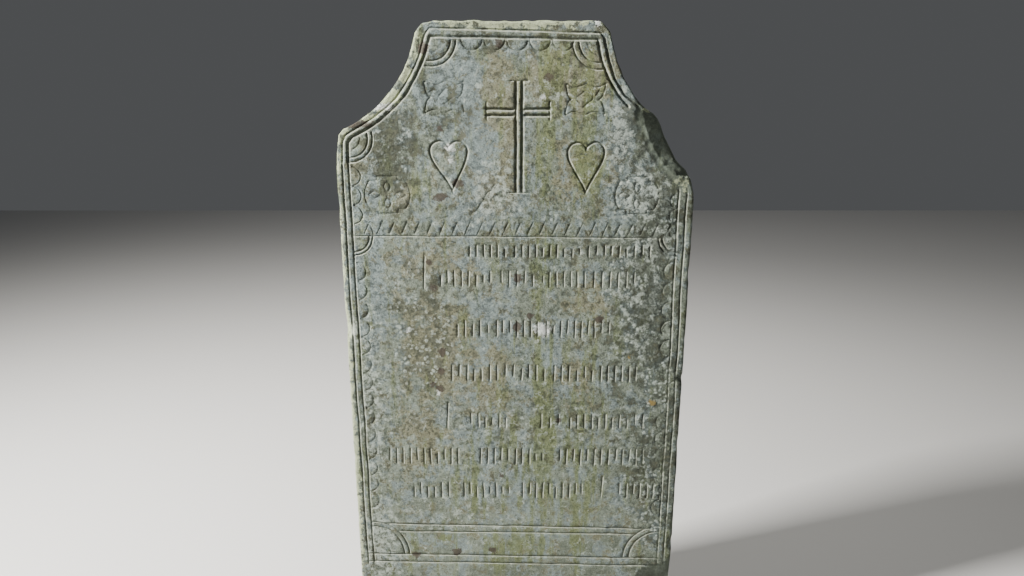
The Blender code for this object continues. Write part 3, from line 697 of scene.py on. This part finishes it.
def word_cuts():
    """Rows of plain upright strokes in place of the wording. No two meet, and none is a letter."""
    dice = random.Random(SEED)
    cuts = []
    for foot, tall, words in WORD_ROWS:
        for left, right in words:
            count = int((right - left) / STROKE_PITCH)
            for i in range(count + 1):
                at = left + (right - left) * i / max(count, 1) + dice.uniform(-STROKE_SHAKE, STROKE_SHAKE)
                low = foot - foot_fall(at) + tall * dice.choice(STROKE_FEET)
                high = foot - foot_fall(at) + tall * dice.choice(STROKE_HEADS)
                cuts.append(([(at, low), (at + dice.uniform(*STROKE_LEANS), high)], *STROKE_CUT))
        first, last = words[0][0] - 14, words[-1][1] + 12
        for z in (foot - GUIDE_GAP, foot + tall + GUIDE_GAP):
            cuts.append(([(first, z - foot_fall(first)), (last, z - foot_fall(last))], *GUIDE_CUT))
    for x, foot, tall in FIRST_STROKES:
        cuts.append(([(x, foot), (x + 3, foot + tall)], *STROKE_CUT))
    return cuts


def foot_fall(across):
    """How far a row has dropped at this place, since the rows run a little downhill to the right."""
    return across * ROW_FALL


def all_cuts():
    """Every cut on the face as (line, width, depth), with a hand's unevenness along it."""
    cuts = [(OUTER_BORDER, *BORDER_CUT), (INNER_BORDER, *BORDER_CUT)]
    cuts += [(line, *BORDER_SIDE_CUT) for line in BORDER_SIDES]
    cuts += [(MID_LINE, *MID_LINE_CUT)] + [(line, *LINE_CUT) for line in BAND_LINES]
    for rounds, cut in ((CORNER_ROUNDS, LINE_CUT), (THIN_ROUNDS, THIN_CUT)):
        for centre, radii, start, end in rounds:
            cuts += [(arc(centre, radius, start, end), *cut) for radius in radii]
    cuts += cross_cuts() + heart_cuts() + scallop_cuts() + slant_cuts() + leaf_cuts() + word_cuts()
    for ring in RINGS:
        cuts += ring_cuts(*ring)
    for figure in HOURGLASSES:
        cuts += hourglass_cuts(*figure)
    cuts += [(line, *SCRATCH_CUT) for line in SCRATCHES]
    cuts += [(line, *CRACK_CUT) for line in CRACKS]
    uneven = []
    for line, width, depth in cuts:
        line = resample(line, GROOVE_STEP)
        uneven.append((line + (drift(line, *SWAY) + drift(line, *TREMBLE)), width, depth))
    return uneven


def cut_wear(points):
    """How much of its depth a cut has kept at each point: least at the right side's foot."""
    across, up = points.T
    kept = CUT_EVENNESS + hills(points, CUT_WEAR_HILLS)
    kept -= WORN_RIGHT[1] * smooth_step(across, *WORN_RIGHT[0])
    sides, heights, amount = WORN_LOW_RIGHT
    return kept - amount * smooth_step(across, *sides) * smooth_step(-up, -heights[1], -heights[0])


def cut_depth(points, cuts):
    """How deep the cuts are at each point, and how much of a full cut that is."""
    depth = np.zeros(len(points))
    share = np.zeros(len(points))
    worn = cut_wear(points)
    for line, width, deep in cuts:
        half = width / 2
        gap = distance_to(points, line, half * CUT_REACH) / half
        slope = 1.0 - gap
        profile = 0.5 * (slope + np.sqrt(slope * slope + LIP * LIP))
        profile *= 1.0 - smooth_step(gap, 1.1, CUT_REACH)
        depth = np.maximum(depth, profile * deep * worn)
        share = np.maximum(share, profile * min(1.0, deep / FULL_CUT))
    return depth, share


def rim_cove(points):
    """The inner side of the head's rim, which slopes down to the border's first groove."""
    line = beside(resample(OUTER_BORDER, GROOVE_STEP), (COVE_OFFSET,))
    return COVE_DEPTH * (1.0 - distance_to(points, line, COVE_REACH) / COVE_REACH)


def flake_depth(points):
    """The broken right shoulder: a low step, a gentle fall, a steep facet, and a climb at the foot."""
    fall = distance_to(points, FLAKE_EDGE, 200.0)
    rise = distance_to(points, FLAKE_FOOT, 200.0)
    facet = distance_to(points, FACET_EDGE, 60.0) * inside(points, FACET_REGION)
    slope = FLAKE_STEP * smooth_step(fall, 0.0, FLAKE_STEP_WIDTH) + FLAKE_FALL * fall + FACET_FALL * facet
    slope += hills(points, FLAKE_HILLS) * smooth_step(fall, *FLAKE_ROUGH_FROM)
    deep = np.minimum(slope, FLAKE_FOOT_FALL * rise)
    return np.where(inside(points, FLAKE_REGION), np.clip(deep, 0.0, FLAKE_DEEPEST), 0.0)


def foot_flake_depth(points):
    """The lower right flake, which falls evenly from its edge."""
    fall = distance_to(points, FOOT_FLAKE_EDGE[:-1], 120.0) * FOOT_FLAKE_FALL
    deep = fall * (FOOT_FLAKE_MIDDLE + hills(points, FOOT_FLAKE_HILLS))
    return np.where(inside(points, FOOT_FLAKE_EDGE), np.clip(deep, 0.0, FOOT_FLAKE_DEEPEST), 0.0)


def chip_depth(points):
    deep = np.zeros(len(points))
    warp = points + drift(points, *CHIP_WARP)
    for x, z, across, up, depth in CHIPS:
        gap = np.hypot((warp[:, 0] - x) / across, (warp[:, 1] - z) / up)
        deep = np.maximum(deep, depth * (1.0 - smooth_step(gap, 0.15, 1.0)))
    return deep


def lump_places():
    """Crusts of lichen, thick on the right side and thinner towards the middle, then the white ones."""
    dice = random.Random(SEED + 1)
    places = []
    for _ in range(LICHEN_LUMPS):
        x = LUMP_RIGHT - LUMP_BAND * dice.random() ** LUMP_CROWDING
        places.append((x, dice.uniform(*LUMP_SPAN), dice.uniform(*LUMP_RADII), dice.uniform(*LUMP_HEIGHTS)))
    for x, z, across, up, count in WHITE_LUMPS:
        for _ in range(count):
            place = (x + across * dice.uniform(-1, 1), z + up * dice.uniform(-1, 1))
            places.append((*place, WHITE_LUMP_RADIUS, dice.uniform(*WHITE_LUMP_HEIGHTS)))
    return places


def round_marks(points, places):
    """Round humps over the given places: (across, up, radius, height)."""
    change = np.zeros(len(points))
    for x, z, radius, height in places:
        near = np.flatnonzero((np.abs(points - (x, z)) < radius).all(1))
        gap = np.hypot(*(points[near] - (x, z)).T) / radius
        change[near] = np.maximum(change[near], height * np.clip(1.0 - gap * gap, 0.0, 1.0) ** 1.5)
    return change


def pit_places():
    dice = random.Random(SEED + 2)
    places = []
    for _ in range(PITS):
        x, z = dice.uniform(*PIT_ACROSS), dice.uniform(*PIT_UP)
        places.append((x, z, dice.uniform(*PIT_RADII), dice.uniform(*PIT_DEPTHS)))
    return places


def arris_wear(points, edge, ground):
    """Depth of the rounded arris at each point, from its distance to the outline."""
    radius = np.clip(ARRIS_RADIUS + hills(points, ground), *ARRIS_LIMITS)
    radius *= smooth_step(points[:, 1], 0.0, GROUND_CLEAR)
    gap = np.clip(distance_to(points, edge, ARRIS_LIMITS[1], closed=True), 0.0, radius)
    return ARRIS_FLATNESS * (radius - np.sqrt(np.clip(radius**2 - (radius - gap) ** 2, 0.0, None)))


def front_depth(points, edge, cuts):
    """Depth of the carved face and the masks that the stone's colours read."""
    carved, share = cut_depth(points, cuts)
    flake, foot = flake_depth(points), foot_flake_depth(points)
    keep = np.clip(1.0 - np.maximum(flake, foot) / CUT_LOST_BELOW, 0.0, 1.0)
    crust = CRUST_LIFT * smooth_step(hills(points, CRUST_HILLS), *CRUST_EDGE)
    lumps = round_marks(points, lump_places())
    carved = np.maximum(carved, rim_cove(points))
    ground = FACE_REST + hills(points, FACE_HILLS) + crust + carved * keep
    ground += round_marks(points, pit_places()) - lumps
    arris = arris_wear(points, edge, FRONT_ARRIS_HILLS)
    worn = np.maximum(ground + flake + foot, arris + ARRIS_GROUND * ground + flake + foot)
    depth = worn + chip_depth(points)
    broken = np.clip(np.maximum(flake, foot) / BROKEN_FROM, 0.0, 1.0)
    return np.maximum(depth, 0.1), {"cut": share * keep, "broken": broken}


def back_depth(points, edge):
    """Depth of the plain, rough-dressed back."""
    ground = FACE_REST + np.abs(hills(points, BACK_HILLS))
    return np.maximum(ground, arris_wear(points, edge, BACK_ARRIS_HILLS) + ARRIS_GROUND * ground)


def thin_out(candidates, gap, kept):
    """The candidates that keep a gap to each other and to the points already kept."""
    cells = {}
    for x, z in kept:
        cells.setdefault((int(x // gap), int(z // gap)), []).append((x, z))
    added = []
    around = [(i, j) for i in (-1, 0, 1) for j in (-1, 0, 1)]
    for x, z in candidates:
        column, row = int(x // gap), int(z // gap)
        near = (other for i, j in around for other in cells.get((column + i, row + j), ()))
        if any(math.hypot(x - a, z - b) < gap for a, b in near):
            continue
        cells.setdefault((column, row), []).append((x, z))
        added.append((x, z))
    return added


def beside(line, offsets):
    """Points beside a line, at each offset from it."""
    along = np.gradient(line, axis=0)
    across = np.column_stack([-along[:, 1], along[:, 0]]) / np.hypot(*along.T)[:, None]
    return np.vstack([line + across * offset for offset in offsets])


def grid_points(step, seed):
    """Staggered points over the whole face, each moved a little at random."""
    rows = np.arange(step, HEIGHT, step * 0.87)
    columns = np.arange(-HALF_WIDTH, HALF_WIDTH, step)
    x, z = np.meshgrid(columns, rows)
    x[1::2] += step / 2
    points = np.column_stack([x.ravel(), z.ravel()])
    return points + np.random.default_rng(seed).uniform(-0.22, 0.22, points.shape) * step


def well_inside(points, edge, gap):
    """The points inside the outline that keep a gap to it."""
    points = points[inside(points, edge)]
    return points[distance_to(points, edge, 2 * gap, closed=True) > gap]


def front_points(edge, inward, cuts):
    """Mesh points of the carved face: along every cut, along the breaks, and an even spread between."""
    rims = [edge + inward * offset for offset in RIM_ROWS]
    middles, walls, lips = [], [], []
    for line, width, depth in cuts:
        half = width / 2
        middles.append(line)
        if width > HAIR_CUT[0]:
            walls.append(beside(line, (-half * WALL_ROW, half * WALL_ROW, -half, half)))
        if width > SCRATCH_CUT[0]:
            lips.append(beside(line, (-half * LIP_ROW, half * LIP_ROW)))
    creases = [resample(line, 3.0) for line in (FLAKE_EDGE, FLAKE_FOOT, FACET_EDGE, FOOT_FLAKE_EDGE)]
    creases = np.vstack([beside(line, (0.0, -CREASE_ROW, CREASE_ROW)) for line in creases])
    kept = []
    for group in (np.vstack(rims), np.vstack(middles), creases, np.vstack(walls), np.vstack(lips)):
        kept += thin_out(well_inside(group, edge, 0.8), MIN_GAP, kept)
    spread = grid_points(*FRONT_GRID)
    flake = grid_points(*FLAKE_GRID)
    rough = inside(flake, FLAKE_REGION) | inside(flake, FOOT_FLAKE_EDGE)
    for group, gap in ((flake[rough], GRID_STEP * 0.42), (spread, GRID_STEP * 0.52)):
        kept += thin_out(well_inside(group, edge, 2.4), gap, kept)
    return np.array(kept)


def back_points(edge, inward):
    rims = np.vstack([edge + inward * 1.6, (edge + inward * 4.4)[::2]])
    kept = thin_out(well_inside(rims, edge, 1.0), 2.0, [])
    spread = grid_points(*BACK_GRID)
    kept += thin_out(well_inside(spread, edge, 6.5), BACK_STEP * 0.5, kept)
    return np.array(kept)


def triangulate(edge, points):
    """Triangles that join the closed edge and the points inside it, counter-clockwise."""
    count = len(edge)
    loop = [(i, (i + 1) % count) for i in range(count)]
    flat = [Vector(point) for point in np.vstack([edge, points])]
    _, _, faces, origins, _, _ = delaunay_2d_cdt(flat, loop, [], 1, 1e-7)
    source = [origin[0] for origin in origins]
    return [[source[corner] for corner in face] for face in faces]


def side_rings(edge, inward, near, far):
    """Rings of points from the front's edge to the back's, pushed in by tool marks or rough breakage."""
    travel = np.arange(len(edge)) * OUTLINE_STEP
    broken = distance_to(edge, RIGHT_EDGE[BREAK_STARTS:], BREAK_REACH) < BREAK_REACH / 2
    shares = np.linspace(0.0, 1.0, SIDE_RINGS)[1:-1]
    rings = []
    for share in shares:
        y = near + (far - near) * share
        place = np.column_stack([travel, y])
        torn, dressed = BREAK_ROUGHER * hills(place, BROKEN_HILLS), hills(place, SIDE_HILLS)
        push = SIDE_REST + np.abs(np.where(broken, torn, dressed))
        push *= smooth_step(share, 0.0, SIDE_EDGE) * smooth_step(1.0 - share, 0.0, SIDE_EDGE)
        push *= smooth_step(edge[:, 1], 0.0, GROUND_CLEAR)
        flat = edge + inward * push[:, None]
        rings.append(np.column_stack([flat[:, 0], y, flat[:, 1]]))
    return rings, broken


def spread_of(points, places, warp, soft=PLACE_SOFT):
    """How strongly each point lies in any of the places, with ragged edges."""
    moved = points + sum(drift(points, warp * pitch, warp * reach, seed) for pitch, reach, seed in WARPS)
    total = np.zeros(len(points))
    for x, z, across, up, strength in places:
        gap = np.hypot((moved[:, 0] - x) / across, (moved[:, 1] - z) / up)
        total = np.maximum(total, strength * (1.0 - smooth_step(gap, soft, PLACE_END)))
    return total


def colour_masks(flat, on_front):
    """Where each colour lies. The sides and back have broad patches of their own."""
    masks = {}
    for i, (name, places, warp, elsewhere) in enumerate(GROWTH_PLACES):
        own = spread_of(flat, places, warp)
        other = rolling(flat + 900.0, ELSEWHERE[0], ELSEWHERE[1] + i)
        masks[name] = np.where(on_front, own, smooth_step(other, 0.0, 0.9) * elsewhere)
    for name, places in (("brown", BROWN), ("orange", ORANGE), ("white", WHITE)):
        masks[name] = STAIN_STRENGTH * spread_of(flat, places, STAIN_WARP, STAIN_EDGE) * on_front
    # Cream growth on the rims, partly a painted highlight where they face the key light
    cream_and_highlight = spread_of(flat, RIM_CREAM_AND_HIGHLIGHT, CREAM_AND_HIGHLIGHT_WARP, CREAM_AND_HIGHLIGHT_SOFT)
    masks["cream_and_highlight"] = cream_and_highlight * np.where(on_front, 1.0, CREAM_AND_HIGHLIGHT_ELSEWHERE)
    return masks


def side_faces(loops, count):
    """Four-sided faces between each ring of points and the next one behind it."""
    faces = []
    for near, far in zip(loops[:-1], loops[1:]):
        for i in range(count):
            j = (i + 1) % count
            faces.append([near + i, far + i, far + j, near + j])
    return faces


def light_facing_of(mesh):
    """How far each point looks towards the key light's side, for painted light and shade: 1 towards it, 0
    away from it.
    """
    normals = np.empty(len(mesh.vertices) * 3, np.float32)
    mesh.vertex_normals.foreach_get("vector", normals)
    return 0.5 + 0.5 * normals.reshape(-1, 3) @ np.array(KEY_LIGHT_SIDE)


def add_object(name, data):
    """A new object in the scene."""
    thing = bpy.data.objects.new(name, data)
    bpy.context.scene.collection.objects.link(thing)
    return thing


def make_stone():
    """One closed mesh: the carved face, the rings of the sides, and the back."""
    edge, inward = outline()
    cuts = all_cuts()
    front, back = front_points(edge, inward, cuts), back_points(edge, inward)
    front_flat, back_flat = np.vstack([edge, front]), np.vstack([edge, back])
    depth, masks = front_depth(front_flat, edge, cuts)
    front_y = FRONT_Y + depth
    back_y = -FRONT_Y - back_depth(back_flat, edge)
    count, first_ring = len(edge), len(front_flat)
    rings, broken_edge = side_rings(edge, inward, front_y[:count], back_y[:count])
    back_start = first_ring + count * len(rings)
    blocks = [np.column_stack([front_flat[:, 0], front_y, front_flat[:, 1]]), *rings]
    blocks.append(np.column_stack([back_flat[:, 0], back_y, back_flat[:, 1]]))
    vertices = np.vstack(blocks)

    faces = triangulate(edge, front)
    faces += [[back_start + corner for corner in face[::-1]] for face in triangulate(edge, back)]
    faces += side_faces([0, *range(first_ring, back_start + 1, count)], count)
    mesh = bpy.data.meshes.new("headstone")
    mesh.from_pydata(vertices * MM, [], faces)
    mesh.validate()

    fields = colour_masks(vertices[:, [0, 2]], np.arange(len(vertices)) < first_ring)
    fields["facing"] = light_facing_of(mesh)
    fields["cut"] = np.zeros(len(vertices))
    fields["cut"][:first_ring] = masks["cut"]
    fields["broken"] = np.zeros(len(vertices))
    fields["broken"][:first_ring] = masks["broken"]
    fields["broken"][first_ring:back_start] = np.tile(broken_edge, len(rings))
    for name, values in fields.items():
        mesh.attributes.new(name, "FLOAT", "POINT").data.foreach_set("value", values.astype(np.float32))
    mesh.shade_smooth()
    mesh.set_sharp_from_angle(angle=SHARP_ANGLE)
    triangles = sum(len(face) - 2 for face in faces)
    print("headstone triangles", triangles, "vertices", len(vertices))
    return add_object("carved_headstone", mesh)


class Graph:
    """Short ways to add shader nodes."""

    def __init__(self, material):
        self.tree = material.node_tree
        self.place = self.add("ShaderNodeTexCoord").outputs["Object"]

    def add(self, kind, **values):
        node = self.tree.nodes.new(kind)
        for name, value in values.items():
            setattr(node, name, value)
        return node

    def feed(self, socket, value):
        if isinstance(value, bpy.types.NodeSocket):
            self.tree.links.new(value, socket)
        elif isinstance(value, tuple):
            socket.default_value = (*value, 1.0)[: len(socket.default_value)]
        else:
            socket.default_value = value

    def stretched(self, scale):
        node = self.add("ShaderNodeMapping")
        node.inputs["Scale"].default_value = scale
        self.feed(node.inputs["Vector"], self.place)
        return node.outputs["Vector"]

    def noise(self, scale, detail, roughness, distortion, place=None, output="Fac"):
        node = self.add("ShaderNodeTexNoise")
        self.feed(node.inputs["Vector"], place or self.place)
        node.inputs["Scale"].default_value = scale
        node.inputs["Detail"].default_value = detail
        node.inputs["Roughness"].default_value = roughness
        node.inputs["Distortion"].default_value = distortion
        return node.outputs[output]

    def cells(self, scale, place):
        node = self.add("ShaderNodeTexVoronoi")
        self.feed(node.inputs["Vector"], place)
        node.inputs["Scale"].default_value = scale
        return node.outputs["Distance"]

    def field(self, name):
        return self.add("ShaderNodeAttribute", attribute_name=name).outputs["Fac"]

    def math(self, operation, first, second=0.0, clamp=False):
        node = self.add("ShaderNodeMath", operation=operation, use_clamp=clamp)
        self.feed(node.inputs[0], first)
        self.feed(node.inputs[1], second)
        return node.outputs[0]

    def between(self, value, low, high, bottom=0.0, top=1.0):
        node = self.add("ShaderNodeMapRange", interpolation_type="SMOOTHSTEP")
        self.feed(node.inputs["Value"], value)
        for name, number in (("From Min", low), ("From Max", high), ("To Min", bottom), ("To Max", top)):
            node.inputs[name].default_value = number
        return node.outputs["Result"]

    def mix(self, share, first, second, blend="MIX"):
        node = self.add("ShaderNodeMix", data_type="RGBA", blend_type=blend)
        self.feed(node.inputs["Factor"], share)
        self.feed(node.inputs[6], first)
        self.feed(node.inputs[7], second)
        return node.outputs[2]

    def lay(self, colour, mask, share, tint):
        """A tint laid over the colour where the mask is, at a share of its strength."""
        return self.mix(self.both(mask, share), colour, tint)

    def shaded(self, colour, tone, share=1.0):
        """The colour made darker where the grey tone is dark."""
        return self.mix(share, colour, self.mix(tone, BLACK, FULL), "MULTIPLY")

    def both(self, first, second):
        return self.math("MULTIPLY", first, second, clamp=True)

    def patch(self, amount, pattern, edge=0.06):
        """Ragged, clear-edged patches of a pattern. An amount of 0 leaves a few, and 1 covers all."""
        spread = self.between(pattern, PATTERN_LOW, PATTERN_HIGH)
        total = self.math("ADD", self.math("MULTIPLY", amount, PATCH_WEIGHT), spread)
        return self.between(total, PATCH_NEED - edge, PATCH_NEED + edge)

    def stain(self, name, pattern, edge=0.08):
        """Patches of a mask's own places only, with nothing left where the mask is empty."""
        amount = self.field(name)
        return self.both(self.patch(amount, pattern, edge), self.between(amount, 0.02, 0.25))


def stone_patterns(g):
    """The patterns, and the patches that both the colours and the bumps read."""
    p = {name: g.noise(*measures) for name, measures in PATTERNS.items()}
    p["streaks"] = g.noise(*STREAKS, g.stretched(STREAK_STRETCH))
    shaken = g.add("ShaderNodeVectorMath", operation="MULTIPLY_ADD")
    g.feed(shaken.inputs[0], g.noise(CRUST_SHAKE_SCALE, 3.0, 0.5, 0.0, output="Color"))
    shaken.inputs[1].default_value = (CRUST_SHAKE, CRUST_SHAKE, CRUST_SHAKE)
    g.feed(shaken.inputs[2], g.place)
    p["lumps"] = g.between(g.cells(CRUST_CELLS, shaken.outputs["Vector"]), 0.22, 0.52, 1.0, 0.0)
    p["crusted"] = g.patch(g.field("crust"), p["patchy"], 0.2)
    p["light"] = g.patch(g.math("ADD", g.field("pale"), PALE_EVERYWHERE), p["mottle"])
    p["dim"] = g.patch(g.math("ADD", g.field("dark"), DARK_EVERYWHERE), p["scales"])
    return p


def grown_colour(g, p):
    """The stone's own tones with what grows on its faces."""
    tone = g.math("ADD", g.both(p["broad"], 0.45), g.both(p["patchy"], 0.55))
    colour = g.mix(g.between(tone, 0.4, 0.6), STONE_DARK, STONE_LIGHT)
    for field, everywhere, pattern, edge, share, tint in GROWTHS:
        patch = g.patch(g.math("ADD", g.field(field), everywhere), p[pattern], edge)
        colour = g.lay(colour, patch, share, tint)
    grain = g.math("ADD", g.both(p["speck"], 0.5), g.both(p["mottle"], 0.5))
    rough = g.between(g.field("calm"), 0.0, 1.0, 1.0, 0.45)
    colour = g.shaded(colour, g.between(grain, 0.43, 0.57, 0.4, 1.72), rough)
    gaps = g.both(p["crusted"], g.between(p["lumps"], 0.0, 0.5, 1.0, 0.0))
    tops = g.both(p["crusted"], g.between(p["lumps"], 0.3, 0.85))
    colour = g.lay(colour, gaps, 0.52, LICHEN_DARK)
    colour = g.lay(colour, tops, 0.72, LICHEN_PALE)
    colour = g.lay(colour, p["light"], 0.72, LICHEN_PALE)
    colour = g.lay(colour, g.both(p["dim"], rough), 0.7, LICHEN_DARK)
    return g.lay(colour, g.patch(DOTS_EVERYWHERE, p["speck"]), 0.7, LICHEN_DARK)


def stone_colour(g, p):
    """The grown stone with its cuts, breaks and stains, and painted highlight and shade from the key light's
    side.
    """
    colour = grown_colour(g, p)
    cut, facing = g.field("cut"), g.field("facing")
    walls = g.between(cut, 0.1, 0.32)
    # Painted highlight: the walls of the cuts that face the key light are made pale
    highlight_wall = g.both(walls, g.between(facing, 0.53, 0.65))
    colour = g.lay(colour, highlight_wall, g.between(p["patchy"], 0.35, 0.6, 0.85, 0.5), CUT_WALL_HIGHLIGHT)
    # Painted shade: the walls of the cuts that face away from the key light are made dark, and so is the
    # deepest part of each cut
    shaded_wall = g.both(walls, g.between(facing, 0.35, 0.48, 1.0, 0.0))
    dark_cut_and_shade = g.math("MAXIMUM", shaded_wall, g.between(cut, 0.72, 1.0))
    colour = g.lay(colour, dark_cut_and_shade, g.between(p["patchy"], 0.4, 0.6, 0.35, 0.7), CUT_DARK_AND_SHADE)
    colour = g.lay(colour, g.field("broken"), g.between(p["mottle"], 0.42, 0.6, 0.6, 0.92), BROKEN_STONE)
    for field, pattern, share, tint in STAINS:
        colour = g.lay(colour, g.stain(field, p[pattern]), share, tint)
    # Painted shade: the stone is darker where it faces away from the key light
    colour = g.shaded(colour, g.between(facing, 0.34, 0.66, 0.84, 1.18))
    return g.shaded(colour, g.between(p["grain"], 0.38, 0.62, 0.72, 1.28))


def stone_height(g, p):
    """Fine relief for the bump: grain, raised crusts, and patches that stand off the stone."""
    crusts = g.both(p["crusted"], p["lumps"])
    plates = g.between(p["scales"], 0.49, 0.51)
    height = g.both(p["mottle"], 0.8)
    parts = ((p["speck"], 0.45), (p["grain"], 0.2), (p["light"], 0.1), (crusts, 0.26), (plates, 0.14))
    for part, rise in parts:
        height = g.math("ADD", height, g.both(part, rise))
    return g.math("SUBTRACT", height, g.both(p["dim"], 0.08))


def new_material(name):
    material = bpy.data.materials.new(name)
    material.use_nodes = True
    return material, material.node_tree.nodes["Principled BSDF"]


def stone_material():
    material, shader = new_material("weathered_stone")
    g = Graph(material)
    p = stone_patterns(g)
    g.feed(shader.inputs["Base Color"], stone_colour(g, p))
    g.feed(shader.inputs["Roughness"], g.between(p["mottle"], 0.35, 0.65, 0.8, 0.97))
    shader.inputs["Specular IOR Level"].default_value = 0.25
    bump = g.add("ShaderNodeBump")
    bump.inputs["Strength"].default_value = BUMP_STRENGTH
    bump.inputs["Distance"].default_value = BUMP_HEIGHT
    g.feed(bump.inputs["Height"], stone_height(g, p))
    g.feed(shader.inputs["Normal"], bump.outputs["Normal"])
    return material


def plain_material(name, colour, roughness):
    material, shader = new_material(name)
    shader.inputs["Base Color"].default_value = colour
    shader.inputs["Roughness"].default_value = roughness
    return material


def make_floor():
    bpy.ops.mesh.primitive_plane_add(size=FLOOR_SIZE, location=(0.0, 0.0, 0.0))
    floor = bpy.context.object
    floor.name = "studio_floor"
    floor.data.materials.append(plain_material("studio_floor", FLOOR_COLOUR, 0.9))


def add_light(name, at, target, size, power, colour):
    data = bpy.data.lights.new(name, "AREA")
    data.size = size
    data.energy = power
    data.color = colour
    lamp = add_object(name, data)
    lamp.location = at
    lamp.rotation_euler = (Vector(target) - Vector(at)).to_track_quat("-Z", "Y").to_euler()


def make_studio():
    for lamp in LAMPS:
        add_light(*lamp)
    world = bpy.data.worlds.new("studio")
    world.use_nodes = True
    sky = world.node_tree.nodes["Background"]
    sky.inputs["Color"].default_value = WORLD_COLOUR
    sky.inputs["Strength"].default_value = WORLD_STRENGTH
    bpy.context.scene.world = world


def make_camera():
    data = bpy.data.cameras.new("camera")
    data.lens = CAMERA_LENS
    camera = add_object("camera", data)
    camera.location = CAMERA_AT
    camera.rotation_euler = (math.radians(CAMERA_PITCH), 0.0, 0.0)
    bpy.context.scene.camera = camera


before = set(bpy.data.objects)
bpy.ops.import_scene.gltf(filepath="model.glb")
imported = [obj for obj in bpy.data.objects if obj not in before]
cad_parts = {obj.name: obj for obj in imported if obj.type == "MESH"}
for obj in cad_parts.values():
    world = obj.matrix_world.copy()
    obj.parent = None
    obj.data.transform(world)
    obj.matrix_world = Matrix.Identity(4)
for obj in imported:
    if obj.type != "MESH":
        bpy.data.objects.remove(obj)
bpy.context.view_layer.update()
make_camera()
make_studio()
make_floor()
headstone = make_stone()
headstone.data.materials.append(stone_material())
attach(headstone, "root")
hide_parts("headstone_slab")
